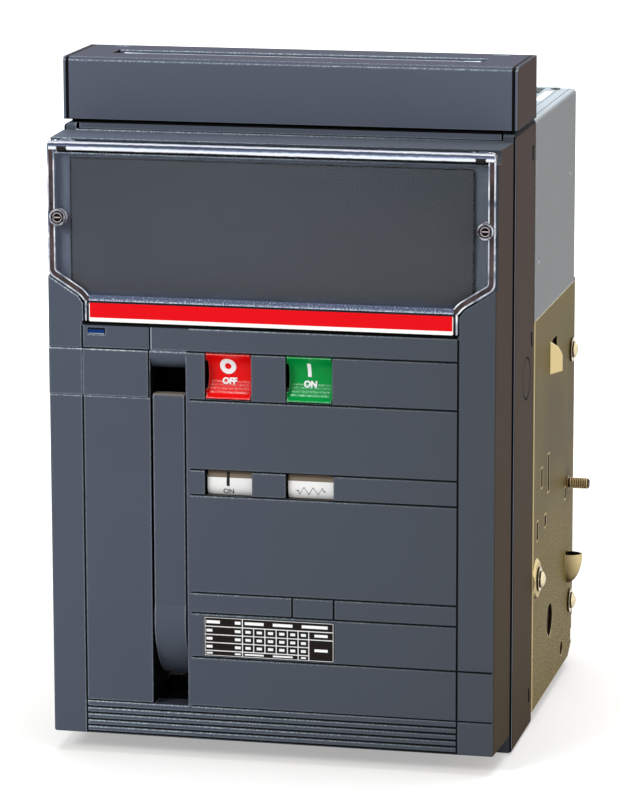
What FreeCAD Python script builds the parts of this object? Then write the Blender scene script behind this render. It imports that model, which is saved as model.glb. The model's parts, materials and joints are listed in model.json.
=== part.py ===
import FreeCAD, Part
import math
import os

# Three-pole low-voltage switch disconnector, fixed version, rear terminals, stored-energy mechanism.
# Millimetres. X to the right as seen from the front, Y to the rear, Z up.
# The origin lies on the floor plane, in the middle of the four base fixing holes.

V = FreeCAD.Vector

# Clearances
running_gap = 0.05
seat_gap = 0.1
body_gap = 0.3

# Poles
pole_count = 3
pole_side_margin = 13.0
cell_wall = 4.0

# Dark frame round the front cover
frame_half_width = 148.0
frame_top = 404.0
frame_front = -148.4
frame_rear = -76.9
frame_wall = 3.0
frame_corner_radius = 3.0
frame_rail_width = 8.5
frame_rail_height = 4.0
frame_bezel_width = 5.0
ring_mark_y = -104.0
ring_mark_z = 239.5
ring_mark_radius = 14.0
ring_mark_line = 1.2
clip_slot_width = 5.0
clip_slot_height = 10.0
clip_slot_inset = 9.0
clip_slot_heights = [22.0, 262.0, 384.0]
gusset_width = 24.0
gusset_height = 26.0

# Front cover
cover_front = -200.0
cover_depth = 46.4
cover_side_step = 1.0
cover_side_taper = 2.0
cover_bottom = 12.3
cover_top = 400.0
cover_wall = 2.5
cover_edge_radius = 1.4
cover_lip_depth = 10.0
cover_screw_heights = [32.0, 360.0]
cover_screw_radius = 2.0
cover_screw_length = 11.0
cover_screw_head_radius = 3.8
cover_screw_head_height = 2.6
column_half_width = 4.3
groove_width = 1.1
groove_depth = 0.9
left_groove_inset = 22.4
right_groove_inset = 23.8
strip_row_z = 282.4
button_row_top = 267.0
button_row_bottom = 236.1
window_row_top = 190.8
window_row_bottom = 174.3
label_row_top = 110.0
label_row_middle = 96.6
label_row_bottom = 67.4
rib_zone_top = 34.6
rib_count = 6
rib_pitch = 4.15
rib_groove_height = 1.5
rib_groove_depth = 1.4
label_tab_left = 14.1
label_tab_right = 41.2

# Shield over the place of the protection release, and its recess
recess_depth = 6.0
shield_clearance = 1.3
shield_wall = 2.6
shield_rim_depth = 5.5
shield_top = 399.5
shield_bottom = 284.4
shield_side_inset = 0.6
shield_foot_inset = 23.8
shield_shoulder_inset = 20.4
shield_shoulder_z = 301.2
shield_foot_z = 296.2
shield_side_z = 314.2
shield_edge = 1.0
hinge_y = -192.0
hinge_z = 396.5
hinge_inset = 9.4
hinge_pin_radius = 1.0
hinge_eye_radius = 2.4
hinge_ear_width = 6.4
hinge_lug_width = 3.0
hinge_gutter_radius = 5.3
hinge_notch_width = 7.6
hinge_notch_height = 3.2
hinge_notch_z = 392.5
shield_screw_inset = 6.5
shield_screw_z = 350.6
shield_screw_head_radius = 3.7
shield_screw_shank_radius = 1.9
shield_screw_boss_radius = 5.6
shield_screw_boss_height = 1.2
shield_screw_slot = 1.0
shield_screw_reach = 8.0
blank_inset = 13.9
blank_top = 389.0
blank_bottom = 298.0
blank_thickness = 1.8
blank_corner_radius = 3.0
strip_inset = 2.7
strip_top = 296.4
strip_foot = 284.4
strip_thickness = 0.4

# Buttons
off_x = -27.2
on_x = 25.4
button_width = 28.6
button_z = 252.0
button_height = 28.6
button_window_gap = 0.8
button_proud = 0.5
button_body_depth = 14.0
button_dish_radius = 15.4
button_dish_depth = 8.5
button_dish_wall = 2.4
button_travel = 5.0
button_flange = 1.6
button_flange_thickness = 2.2
button_stem_radius = 3.0
button_stem_end = -177.7
button_nose_radius = 1.2
button_nose_length = 2.75
button_grip_half_height = 0.4
button_grip_count = 4
button_grip_pitch = 2.0
reset_x = -113.3
reset_z = 278.2
reset_width = 10.6
reset_height = 3.4
reset_depth = 11.0
reset_travel = 3.0

# Indicators behind their windows
flag_axis_y = -178.6
flag_axis_z = 182.2
flag_radius = 17.5
flag_wall = 1.6
flag_hub_radius = 4.2
flag_axle_radius = 2.0
flag_low_angle = -31.0
flag_high_angle = 89.0
position_window = (-42.8, -11.9)
spring_window = (10.1, 41.3)
flag_side_gap = 0.8

# Rating plate and lock pad
plate_left = -43.8
plate_right = 41.5
plate_bottom = 68.8
plate_top = 94.6
plate_thickness = 0.8
plate_sink = 0.5
pad_right = -79.2
pad_thickness = 2.2
pad_sink = 1.6

# Charging lever and its slot
slot_left = -78.1
slot_right = -54.8
slot_bottom = 34.1
slot_lip_z = 254.0
slot_lip_radius = 13.0
slot_wall = 2.5
slot_wall_rear = -160.0
slot_floor_depth = 15.0
slot_floor_drop = 6.0
slot_back_top = 40.0
slot_back_y = -150.8
lever_side_gap = 1.4
lever_axis_y = -150.0
lever_axis_z = 66.0
lever_front = -199.2
lever_top = 238.8
lever_curve_top = 100.0
lever_thickness = 10.5
lever_hub_radius = 13.0
lever_cheek = 10.4

# Charging shaft, ratchet wheel, pawl and cam
charging_shaft_radius = 8.0
ratchet_teeth = 18
ratchet_radius = 24.0
ratchet_tooth_depth = 3.2
ratchet_width = 7.0
pawl_pin_radius = 2.5
pawl_pin_distance = 35.0
pawl_pin_angle = 62.0
cam_base_radius = 24.0
cam_rise = 25.0
cam_turn_degrees = 150.0
cam_width = 8.0
cam_gap = 0.6

# Mechanism plates, trip shaft and close shaft
mechanism_half_width = 50.0
mechanism_plate_thickness = 3.0
mechanism_bottom = 40.0
mechanism_top = 286.0
mechanism_nose_front = -186.0
mechanism_nose_bottom = 165.0
mechanism_front = -166.0
mechanism_rear = -62.0
mechanism_foot_width = 14.0
mechanism_foot_z = (62.0, 140.0)
mechanism_window_y = (-128.0, -92.0)
mechanism_window_z = (130.0, 250.0)
spacer_radius = 5.0
trip_axis_y = -174.4
trip_axis_rise = 14.0
trip_shaft_radius = 4.0
trip_journal_radius = 2.5
trip_arm_width = 8.0
trip_arm_front = 3.0
trip_arm_thickness = 2.4

# Spring carriage, springs and anchor
carriage_roller_radius = 6.0
carriage_height = 10.0
carriage_depth = 20.0
carriage_half_width = 44.0
carriage_fork_gap = 5.0
carriage_fork_wall = 4.0
spring_x = 28.0
spring_wire = 3.2
spring_mean_radius = 8.2
spring_turns = 6
spring_steps = 12
spring_length = 100.0
anchor_thickness = 8.0
guide_rod_radius = 4.0

# Main shaft, connecting rods and moving contacts
main_axis_y = -52.0
contact_axis_y = 38.0
pivot_z = 100.0
crank_radius = 50.0
main_shaft_radius = 12.0
main_journal_radius = 8.0
crank_cheek = 6.0
crank_gap = 12.0
crank_pin_radius = 5.0
crank_foot_radius = 17.0
crank_head_radius = 10.0
crank_slot_foot = 30.0
bearing_depth = 18.0
rod_eye_radius = 10.0
rod_width = 11.0
rod_height = 12.0
rod_waist_end = 16.0
rod_waist_half_height = 3.4
rod_waist_depth = 1.8
rod_open_pivot_gap = 0.4
finger_offsets = [10.5, 17.5, 24.5]
finger_width = 5.0
finger_depth = 14.0
finger_top = 157.0
finger_slot_foot = 14.0
finger_spring_rise = (92.0, 104.0)
contact_pin_radius = 6.0
contact_gap = 0.4

# Pole base
base_side_gap = 0.2
base_front = -30.0
base_rear = 102.0
base_bottom = 30.0
base_top = 271.0
base_front_wall = 6.0
base_rear_wall = 24.0
base_floor = 8.0
rod_window_half_width = 8.0
rod_window_z = (134.0, 163.0)
barrier_depth = 14.0
barrier_thickness = 4.0

# Terminals
terminal_half_width = 30.0
terminal_thickness = 10.0
terminal_rear = 152.0
upper_terminal_z = 246.0
lower_terminal_z = 85.0
terminal_hole_radius = 5.5
terminal_hole_spacing = 30.0
terminal_hole_y = 128.0
fixed_contact_height = 22.0
fixed_contact_depth = 16.0
terminal_ear = 6.0

# Arc chutes
chute_front = -28.5
chute_rear = 80.8
chute_side_gap = 1.0
chute_wall = 3.5
chute_top = 401.4
splitter_count = 9
splitter_thickness = 2.0
splitter_bottom_rise = 10.0
splitter_notch_half_width = 12.0
splitter_notch_height = 36.0
vent_thickness = 5.0
vent_slot_width = 4.0
vent_slot_end = 6.0

# Grey upper housing and zinc-plated side plates
housing_side_step = 0.6
housing_top = 404.9
housing_wall = 2.6
housing_rear = 83.7
housing_split_z = 271.9
housing_edge_radius = 3.0
housing_window_inset = 5.0
plate_thickness_side = 2.4
side_plate_bottom = 8.1
side_corner_y = 69.8
side_corner_z = 15.4
side_flange_width = 48.0
side_flange_y = (-60.0, 66.0)
side_screw_places = [(72.0, 225.6), (72.0, 47.8), (-64.6, 96.3)]
side_screw_radius = 3.0
side_screw_reach = 11.5
side_screw_head_radius = 5.6
side_screw_head_height = 3.6
side_washer_radius = 8.2
side_washer_thickness = 1.4
stud_y = 61.4
stud_z = 134.0
stud_radius = 4.0
stud_reach = 15.2
stud_shoulder_radius = 5.0
stud_shoulder_rise = 0.6
stud_tip = 0.8
stud_clip_radius = 7.0
stud_clip_thickness = 4.0
boss_rise = 1.5
boss_radius = 12.2
tongue_y = (-16.0, 12.0)
tongue_z = (225.0, 247.0)
tongue_tip_z = (226.5, 237.0)
tongue_rise = 7.3
tongue_back = 7.2
tongue_wall = 1.6
hook_y = (54.0, 68.0)
hook_z = (63.0, 84.0)
hook_rise = 10.9
hook_wall = 1.8
hook_slit = 1.5
side_slots = [(-19.0, 158.5, 2.4, 25.0), (-46.0, 160.8, 2.4, 12.2), (51.0, 128.8, 2.4, 7.0),
              (-31.0, 128.3, 3.0, 7.4), (-62.0, 128.2, 2.4, 12.0)]
side_holes = [(-9.0, 54.3, 11.2), (41.5, 21.0, 5.0)]
housing_holes = [(61.4, 351.3), (-63.3, 311.1)]
housing_hole_radius = 2.0

# Foot rails
rail_inner_x = 84.0
rail_outer_x = 124.0
rail_y = (-70.0, 78.0)
base_bolt_x = 92.0
base_bolt_y = 50.0
base_bolt_radius = 5.5
foot_screw_radius = 3.0
foot_screw_head_radius = 5.0
foot_screw_head_height = 4.0
foot_screw_x = 114.0
foot_screw_y = (-50.0, 50.0)

# Terminal box
box_front = -146.8
box_bottom = 406.2
box_top = 446.6
box_side_step = 0.5
box_cap = 2.6
box_wall = 2.4
box_edge = 2.0
box_slot_half_length = 122.0
box_slot_y = (-122.0, -104.0)
box_foot_width = 5.0
box_skirt_end_gap = 1.5
box_skirt_set_back = 0.5
box_skirt_wall = 5.0
box_skirt_groove = 1.3
strip_block_pitch = 12.0

# Auxiliary switch
aux_length = 46.0
aux_y = (-138.0, -100.0)
aux_z = (196.0, 262.0)
aux_pocket_count = 4

# Widths that follow the frame
pole_pitch = 2 * (frame_half_width - pole_side_margin) / pole_count
cell_half_width = pole_pitch / 2 - cell_wall
chute_half_width = pole_pitch / 2 - chute_side_gap
cover_rear_half_width = frame_half_width - cover_side_step
cover_front_half_width = cover_rear_half_width - cover_side_taper
left_groove_x = left_groove_inset - cover_front_half_width
right_groove_x = cover_front_half_width - right_groove_inset
shield_half_width = cover_front_half_width - shield_side_inset
shield_shoulder_x = shield_half_width - shield_shoulder_inset
shield_foot_half_width = shield_half_width - shield_foot_inset
shield_screw_x = shield_half_width - shield_screw_inset
hinge_x = shield_half_width - hinge_inset
blank_half_width = shield_half_width - blank_inset
strip_half_width = shield_foot_half_width - strip_inset
housing_half_width = frame_half_width + housing_side_step
housing_window_half_width = pole_pitch / 2 - housing_window_inset
side_plate_inner = housing_half_width - plate_thickness_side
base_half_width = side_plate_inner - base_side_gap
box_half_width = frame_half_width + box_side_step

# Values that several pieces share
cover_rear = cover_front + cover_depth
shield_back = cover_front + recess_depth
shield_face = shield_back - body_gap - shield_rim_depth
strip_back = shield_face - strip_thickness
lever_left = slot_left + lever_side_gap
lever_right = slot_right - lever_side_gap
mechanism_inner = mechanism_half_width - mechanism_plate_thickness
ratchet_left = lever_left + lever_cheek + 0.8
spring_foot_z = lever_axis_z + cam_base_radius + cam_gap + 2 * carriage_roller_radius + 3.0 + carriage_height
anchor_z = spring_foot_z + spring_length
pole_places = [pole_pitch * (i - (pole_count - 1) / 2) for i in range(pole_count)]


def block(x0, x1, y0, y1, z0, z1):
    return Part.makeBox(x1 - x0, y1 - y0, z1 - z0, V(x0, y0, z0))


def round_x(x0, x1, y, z, radius):
    return Part.makeCylinder(radius, x1 - x0, V(x0, y, z), V(1, 0, 0))


def round_y(y0, y1, x, z, radius):
    return Part.makeCylinder(radius, y1 - y0, V(x, y0, z), V(0, 1, 0))


def round_z(z0, z1, x, y, radius):
    return Part.makeCylinder(radius, z1 - z0, V(x, y, z0))


def profile_x(points, x0, x1):
    # An outline in (y, z), drawn out from x0 to x1
    corners = [V(x0, y, z) for y, z in points]
    return Part.Face(Part.makePolygon(corners + corners[:1])).extrude(V(x1 - x0, 0, 0))


def profile_y(points, y0, y1):
    # An outline in (x, z), drawn out from y0 to y1
    corners = [V(x, y0, z) for x, z in points]
    return Part.Face(Part.makePolygon(corners + corners[:1])).extrude(V(0, y1 - y0, 0))


def profile_z(points, z0, z1):
    # An outline in (x, y), drawn out from z0 to z1
    corners = [V(x, y, z0) for x, y in points]
    return Part.Face(Part.makePolygon(corners + corners[:1])).extrude(V(0, 0, z1 - z0))


def hexagon(place_y, place_z, radius):
    return [(place_y + radius * math.cos(math.pi * i / 3), place_z + radius * math.sin(math.pi * i / 3))
            for i in range(6)]


def rounded(shape, radius, direction, wanted=None):
    # Rounds the straight edges that run along one direction
    edges = []
    for edge in shape.Edges:
        along = edge.Vertexes[-1].Point.sub(edge.Vertexes[0].Point)
        if along.Length < 1e-6 or along.cross(direction).Length > 1e-6 * along.Length:
            continue
        if wanted is None or wanted(edge.CenterOfMass):
            edges.append(edge)
    return shape.makeFillet(radius, edges)


def both_sides(shape):
    return [shape, shape.mirror(V(0, 0, 0), V(1, 0, 0))]


def save(name, shape):
    shape.exportStep("parts/" + name + ".step")


def save_group(name, shapes):
    save(name, Part.makeCompound(shapes))


# Front cover


def shield_outline(y):
    half = [(shield_half_width, shield_top), (shield_half_width, shield_side_z),
            (shield_shoulder_x, shield_shoulder_z), (shield_foot_half_width, shield_foot_z),
            (shield_foot_half_width, shield_bottom)]
    points = half + [(-x, z) for x, z in reversed(half)]
    corners = [V(x, y, z) for x, z in points]
    return Part.Face(Part.makePolygon(corners + corners[:1]))


def cover_grooves():
    cuts = []
    y0 = cover_front - 1.0
    y1 = cover_front + groove_depth
    half = groove_width / 2
    left = slot_right + slot_wall
    full_left = -cover_rear_half_width
    full_right = cover_rear_half_width
    rows = [(left, right_groove_x, strip_row_z), (left_groove_x, right_groove_x, button_row_top),
            (left, right_groove_x, button_row_bottom), (left, right_groove_x, window_row_top),
            (left, right_groove_x, window_row_bottom), (left, right_groove_x, label_row_top),
            (left, right_groove_x, label_row_middle), (left, full_right, label_row_bottom),
            (left, full_right, rib_zone_top), (left_groove_x, slot_left, rib_zone_top)]
    for x0, x1, z in rows:
        cuts.append(block(x0, x1, y0, y1, z - half, z + half))
    for x in (left_groove_x, right_groove_x):
        cuts.append(block(x - half, x + half, y0, y1, cover_bottom - 1, strip_row_z + half))
    for x in (label_tab_left, label_tab_right):
        cuts.append(block(x - half, x + half, y0, y1, label_row_middle, label_row_top))
    for i in range(rib_count - 1):
        z = rib_zone_top - groove_width - (i + 1) * rib_pitch + rib_groove_height
        cuts.append(block(left_groove_x, right_groove_x, y0, cover_front + rib_groove_depth,
                          z - rib_groove_height, z))
    return cuts


def button_window(x):
    half_w = button_width / 2 + button_window_gap
    half_h = button_height / 2 + button_window_gap
    return block(x - half_w, x + half_w, cover_front - 1, cover_front + recess_depth,
                 button_z - half_h, button_z + half_h)


def opening_heights(margin):
    # Lowest and highest point of the frame's front opening, grown by a margin
    return (cover_bottom + 2.0 - margin, frame_top - frame_rail_height - frame_wall + margin)


def front_cover():
    sides = [(-cover_front_half_width, cover_front), (cover_front_half_width, cover_front),
             (cover_rear_half_width, cover_rear), (-cover_rear_half_width, cover_rear)]
    shell = profile_z(sides, cover_bottom, cover_top)
    shell = rounded(shell, cover_edge_radius, V(0, 0, 1), lambda c: c.y < cover_front + 1)
    shell = rounded(shell, cover_edge_radius, V(1, 0, 0),
                    lambda c: c.y < cover_front + 1 and c.z < cover_bottom + 1)
    wall = cover_wall
    inner = [(x - math.copysign(wall, x), y) for x, y in sides]
    lower_hollow = profile_z([(inner[0][0], cover_front + wall), (inner[1][0], cover_front + wall),
                              (inner[2][0], cover_rear + 1), (inner[3][0], cover_rear + 1)],
                             cover_bottom + wall, shield_bottom - 6)
    upper_hollow = profile_z([(inner[0][0], shield_back + wall), (inner[1][0], shield_back + wall),
                              (inner[2][0], cover_rear + 1), (inner[3][0], cover_rear + 1)],
                             shield_bottom - 6.5, cover_top - hinge_gutter_radius)
    top_hollow = profile_z([(inner[0][0], hinge_y + hinge_gutter_radius + wall),
                            (inner[1][0], hinge_y + hinge_gutter_radius + wall),
                            (inner[2][0], cover_rear + 1), (inner[3][0], cover_rear + 1)],
                           cover_top - hinge_gutter_radius - 1, cover_top - wall)
    body = shell.cut([lower_hollow, upper_hollow, top_hollow])
    # Lip that plugs into the frame's front opening
    lip_half = frame_half_width - frame_bezel_width - seat_gap
    lip_low, lip_high = opening_heights(-seat_gap)
    lip = block(-lip_half, lip_half, cover_rear - wall, frame_front + cover_lip_depth, lip_low, lip_high)
    edge = block(-cover_rear_half_width + 1, cover_rear_half_width - 1, cover_rear - wall, cover_rear,
                 cover_bottom + 1, cover_top - 1)
    lip = lip.fuse(edge)
    lip = lip.cut(block(-lip_half + wall, lip_half - wall, cover_rear - wall - 1,
                        frame_front + cover_lip_depth + 1, lip_low + wall, lip_high - wall))
    lip = lip.cut([block(x - gusset_width / 2 - 1, x + gusset_width / 2 + 1, frame_front - 1, frame_rear,
                         z - gusset_height / 2 - 1, z + gusset_height / 2 + 1)
                   for x, z in cover_screw_places()])
    body = body.fuse(lip)
    # Lip that rolls inwards above the lever, and the walls and floor of its slot
    lip_y = cover_front + slot_lip_radius
    lip_top = slot_lip_z + slot_lip_radius
    lip_roll = round_x(slot_left - slot_wall, slot_right + slot_wall, lip_y, lip_top, slot_lip_radius)
    lip_shell = lip_roll.cut(round_x(slot_left - slot_wall, slot_right + slot_wall, lip_y, lip_top,
                                     slot_lip_radius - slot_wall))
    lip_shell = lip_shell.common(block(slot_left - slot_wall, slot_right + slot_wall, cover_front, lip_y,
                                       slot_lip_z, lip_top))
    slot_walls = [block(x, x + slot_wall, cover_front + wall, slot_wall_rear,
                        slot_bottom - slot_floor_drop - slot_wall, lip_top + slot_wall)
                  for x in (slot_left - slot_wall, slot_right)]
    low_floor = slot_bottom - slot_floor_drop
    slot_walls += [block(x, x + slot_wall, slot_wall_rear - 1, slot_back_y + slot_wall, low_floor - slot_wall,
                         slot_back_top) for x in (slot_left - slot_wall, slot_right)]
    back_rear = slot_back_y + slot_wall
    slot_floor = profile_x([(cover_front + 0.5, low_floor - slot_wall), (back_rear, low_floor - slot_wall),
                            (back_rear, slot_back_top), (slot_back_y, slot_back_top),
                            (slot_back_y, low_floor),
                            (cover_front + slot_floor_depth, low_floor),
                            (cover_front + slot_floor_depth, slot_bottom), (cover_front + 0.5, slot_bottom)],
                           slot_left - slot_wall, slot_right + slot_wall)
    pad_seat = block(-cover_front_half_width + 1, slot_left, cover_front + 0.5,
                     cover_front + pad_sink + wall, button_row_bottom - 3, button_row_top + 3)
    # Corner columns that take the cover screws, and the two hinge ears
    columns = []
    for x, z in cover_screw_places():
        columns.append(block(x - column_half_width, x + column_half_width, cover_front + 1,
                             frame_front - body_gap, z - column_half_width, z + column_half_width))
    ears = []
    for side in (-1, 1):
        x0 = side * hinge_x - hinge_ear_width / 2
        x1 = side * hinge_x + hinge_ear_width / 2
        ears.append(round_x(x0, x1, hinge_y, hinge_z, hinge_eye_radius))
        ears.append(block(x0, x1, hinge_y, hinge_y + hinge_gutter_radius + 2,
                          hinge_z - hinge_eye_radius, hinge_z + hinge_eye_radius))
    body = body.fuse([lip_shell, slot_floor, pad_seat] + slot_walls + columns)
    gutter = round_x(-shield_half_width - 5, shield_half_width + 5, hinge_y, hinge_z, hinge_gutter_radius)
    recess = shield_outline(cover_front - 2).makeOffset2D(shield_clearance)
    recess = recess.extrude(V(0, recess_depth + 2, 0))
    body = body.cut([gutter, recess]).fuse(ears)
    slot_hollow = block(slot_left, slot_right, cover_front - 1, slot_back_y, slot_bottom, slot_lip_z)
    lip_room = block(slot_left, slot_right, cover_front - 1, lip_y, slot_lip_z - 1, lip_top).cut(lip_roll)
    cuts = [slot_hollow, lip_room, button_window(off_x), button_window(on_x)]
    for x0, x1 in (position_window, spring_window):
        cuts.append(block(x0, x1, cover_front - 1, cover_front + recess_depth,
                          window_row_bottom, window_row_top))
    cuts.append(block(reset_x - reset_width / 2 - 0.4, reset_x + reset_width / 2 + 0.4, cover_front - 1,
                      shield_back + wall + 1, reset_z - reset_height / 2 - 0.4,
                      reset_z + reset_height / 2 + 0.4))
    cuts.append(block(-cover_rear_half_width, pad_right + 0.6, cover_front - 1, cover_front + pad_sink,
                      button_row_bottom, button_row_top))
    cuts.append(block(plate_left - seat_gap, plate_right + seat_gap, cover_front - 1,
                      cover_front + plate_sink, plate_bottom - seat_gap, plate_top + seat_gap))
    cuts.append(round_x(-hinge_x - 6, -hinge_x + 6, hinge_y, hinge_z, hinge_pin_radius + 0.02))
    cuts.append(round_x(hinge_x - 6, hinge_x + 6, hinge_y, hinge_z, hinge_pin_radius + 0.02))
    for side in (-1, 1):
        cuts.append(round_y(shield_back - 1, shield_back + wall + 1, side * shield_screw_x,
                            shield_screw_z, shield_screw_shank_radius + 1.0))
    for x, z in cover_screw_places():
        cuts.append(round_y(frame_front - cover_screw_length - 1, frame_front, x, z, cover_screw_radius))
    body = body.cut(cuts).cut(cover_grooves())
    save("front_cover", body.removeSplitter())


def cover_screw_places():
    x = frame_half_width - frame_bezel_width - gusset_width / 2 + 1
    return [(side * x, z) for z in cover_screw_heights for side in (-1, 1)]


def cover_screws():
    screws = []
    head_y = frame_front + frame_wall
    for x, z in cover_screw_places():
        shank = round_y(frame_front - cover_screw_length, head_y, x, z, cover_screw_radius - running_gap)
        head = profile_y(hexagon(x, z, cover_screw_head_radius), head_y, head_y + cover_screw_head_height)
        screws.append(shank.fuse(head))
    save_group("cover_screws", screws)


def release_blank_panel():
    y1 = shield_back
    panel = block(-blank_half_width, blank_half_width, y1 - blank_thickness, y1, blank_bottom, blank_top)
    panel = rounded(panel, blank_corner_radius, V(0, 1, 0))
    # Lower corners that follow the shield's rim
    inside = shield_outline(y1 - blank_thickness).makeOffset2D(-shield_wall - body_gap)
    panel = panel.common(inside.extrude(V(0, blank_thickness, 0)))
    rim = block(-blank_half_width + 10, blank_half_width - 10, y1 - blank_thickness - 1, y1 - 1.2,
                blank_bottom + 6, blank_top - 3)
    save("release_blank_panel", panel.cut(rounded(rim, 2.0, V(0, 1, 0))))


def lock_pad():
    left = -cover_front_half_width
    front = cover_front + pad_sink - pad_thickness
    pad = block(left, pad_right, front, cover_front + pad_sink, button_row_bottom + 0.4,
                button_row_top - 0.4)
    pad = rounded(pad, 0.8, V(0, 0, 1), lambda c: c.y < front + 0.1)
    fold = block(left_groove_x - 0.3, left_groove_x + 0.3, front - 1, front + 0.5, button_row_bottom,
                 button_row_top)
    save("lock_pad", pad.cut(fold))


def rating_plate():
    y1 = cover_front + plate_sink
    plate = block(plate_left, plate_right, y1 - plate_thickness, y1, plate_bottom, plate_top)
    save("rating_plate", rounded(plate, 1.0, V(0, 1, 0)))


# Shield, its pins, screws and strip


def release_shield():
    body = shield_outline(shield_face).extrude(V(0, shield_rim_depth, 0))
    body = rounded(body, 3.0, V(0, 1, 0))
    front_edges = [e for e in body.Edges if abs(e.BoundBox.YMax - shield_face) < 0.01]
    body = body.makeChamfer(shield_edge, front_edges)
    inner = shield_outline(shield_face + shield_wall).makeOffset2D(-shield_wall)
    body = body.cut(inner.extrude(V(0, shield_rim_depth, 0)))
    cuts = []
    adds = []
    for side in (-1, 1):
        x = side * hinge_x
        half = hinge_notch_width / 2
        cuts.append(block(x - half, x + half, shield_face + shield_wall, shield_back + 1,
                          hinge_z - 6, shield_top + 1))
        cuts.append(block(x - half + 0.4, x + half - 0.4, shield_face - 1, shield_back,
                          hinge_notch_z - hinge_notch_height / 2, hinge_notch_z + hinge_notch_height / 2))
        for lug in (-1, 1):
            inner_x = x + lug * (half + 0.1)
            outer_x = inner_x + lug * hinge_lug_width
            x0 = min(inner_x, outer_x)
            x1 = max(inner_x, outer_x)
            adds.append(round_x(x0, x1, hinge_y, hinge_z, hinge_eye_radius))
            adds.append(block(x0, x1, shield_face + shield_wall - 0.5, hinge_y,
                              hinge_z - hinge_eye_radius, hinge_z + hinge_eye_radius))
        boss_x = side * shield_screw_x
        adds.append(round_y(shield_face - shield_screw_boss_height, shield_face + shield_rim_depth,
                            boss_x, shield_screw_z, shield_screw_boss_radius))
    body = body.fuse(adds)
    for side in (-1, 1):
        x = side * hinge_x
        cuts.append(round_x(x - 9, x + 9, hinge_y, hinge_z, hinge_pin_radius + running_gap))
        boss_x = side * shield_screw_x
        cuts.append(round_y(shield_face - 5, shield_back, boss_x, shield_screw_z,
                            shield_screw_shank_radius + running_gap))
        cuts.append(round_y(shield_face - 5, shield_face + 1.0, boss_x, shield_screw_z,
                            shield_screw_head_radius + 0.4))
        x0 = side * (shield_half_width + 5) - 5
        cuts.append(block(x0, x0 + 10, 2 * cover_front, 0, 0, box_top))
    save("release_shield", body.cut(cuts))


def shield_pins():
    half = hinge_notch_width / 2 + hinge_lug_width
    save_group("shield_pins", [round_x(side * hinge_x - half, side * hinge_x + half, hinge_y, hinge_z,
                                       hinge_pin_radius) for side in (-1, 1)])


def shield_screw(side):
    x = side * shield_screw_x
    seat = shield_face + 1.0
    head = round_y(shield_face - shield_screw_boss_height, seat, x, shield_screw_z, shield_screw_head_radius)
    shank = round_y(seat, seat + shield_screw_reach, x, shield_screw_z, shield_screw_shank_radius)
    key = block(x - 2.6, x + 2.6, seat + shield_screw_reach - 1.2, seat + shield_screw_reach,
                shield_screw_z - 1.0, shield_screw_z + 1.0)
    slot = block(x - 5, x + 5, shield_face - 5, shield_face - shield_screw_boss_height + 1.0,
                 shield_screw_z - shield_screw_slot / 2, shield_screw_z + shield_screw_slot / 2)
    return head.fuse([shank, key]).cut(slot)


def band_strip():
    strip = block(-strip_half_width, strip_half_width, strip_back, shield_face, strip_foot, strip_top)
    save("band_strip", rounded(strip, 0.8, V(0, 1, 0)))


# Buttons and indicators


def push_button(x):
    half_w = button_width / 2
    half_h = button_height / 2
    front = cover_front - button_proud
    body = block(x - half_w, x + half_w, front, front + button_body_depth, button_z - half_h,
                 button_z + half_h)
    dish_y = front - (button_dish_radius - button_dish_depth)
    flange_y = cover_front + cover_wall + body_gap
    flange = block(x - half_w - button_flange, x + half_w + button_flange, flange_y,
                   flange_y + button_flange_thickness, button_z - half_h - button_flange,
                   button_z + half_h + button_flange)
    dish = round_x(x - half_w - 2 * button_flange, x + half_w + 2 * button_flange, dish_y, button_z,
                   button_dish_radius)
    body = body.fuse(flange).cut(dish)
    nose_y = button_stem_end - button_stem_radius
    stem = round_y(front + button_body_depth - 1, nose_y, x, button_z, button_stem_radius)
    nose = Part.makeCone(button_stem_radius, button_nose_radius, button_nose_length, V(x, nose_y, button_z),
                         V(0, 1, 0))
    hollow_y = front + button_dish_depth + button_dish_wall
    hollow = block(x - half_w + 2.5, x + half_w - 2.5, hollow_y, front + button_body_depth + 1,
                   button_z - half_h + 2.5, button_z + half_h - 2.5)
    # Grip lines on the lower part of the dished face
    grips = []
    for i in range(button_grip_count):
        z = button_z - half_h + 3.6 + i * button_grip_pitch
        depth = math.sqrt(button_dish_radius ** 2 - (z - button_z) ** 2)
        half = button_grip_half_height
        grips.append(block(x - half_w + 2, x + half_w - 2, dish_y + depth - half, dish_y + depth + 1,
                           z - half, z + half))
    column = block(x - 4, x + 4, hollow_y - 1, front + button_body_depth, button_z - 4, button_z + 4)
    return body.cut(hollow).fuse([column, stem, nose]).fuse(grips)


def reset_button():
    front = cover_front - 0.3
    body = block(reset_x - reset_width / 2, reset_x + reset_width / 2, front, front + reset_depth,
                 reset_z - reset_height / 2, reset_z + reset_height / 2)
    body = rounded(body, 0.8, V(0, 1, 0))
    flange_y = shield_back + cover_wall + body_gap
    flange = block(reset_x - reset_width / 2 - 1.5, reset_x + reset_width / 2 + 1.5, flange_y,
                   flange_y + 2.0, reset_z - reset_height / 2 - 0.9, reset_z + reset_height / 2 + 0.9)
    save("reset_button", body.fuse(flange))


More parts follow.
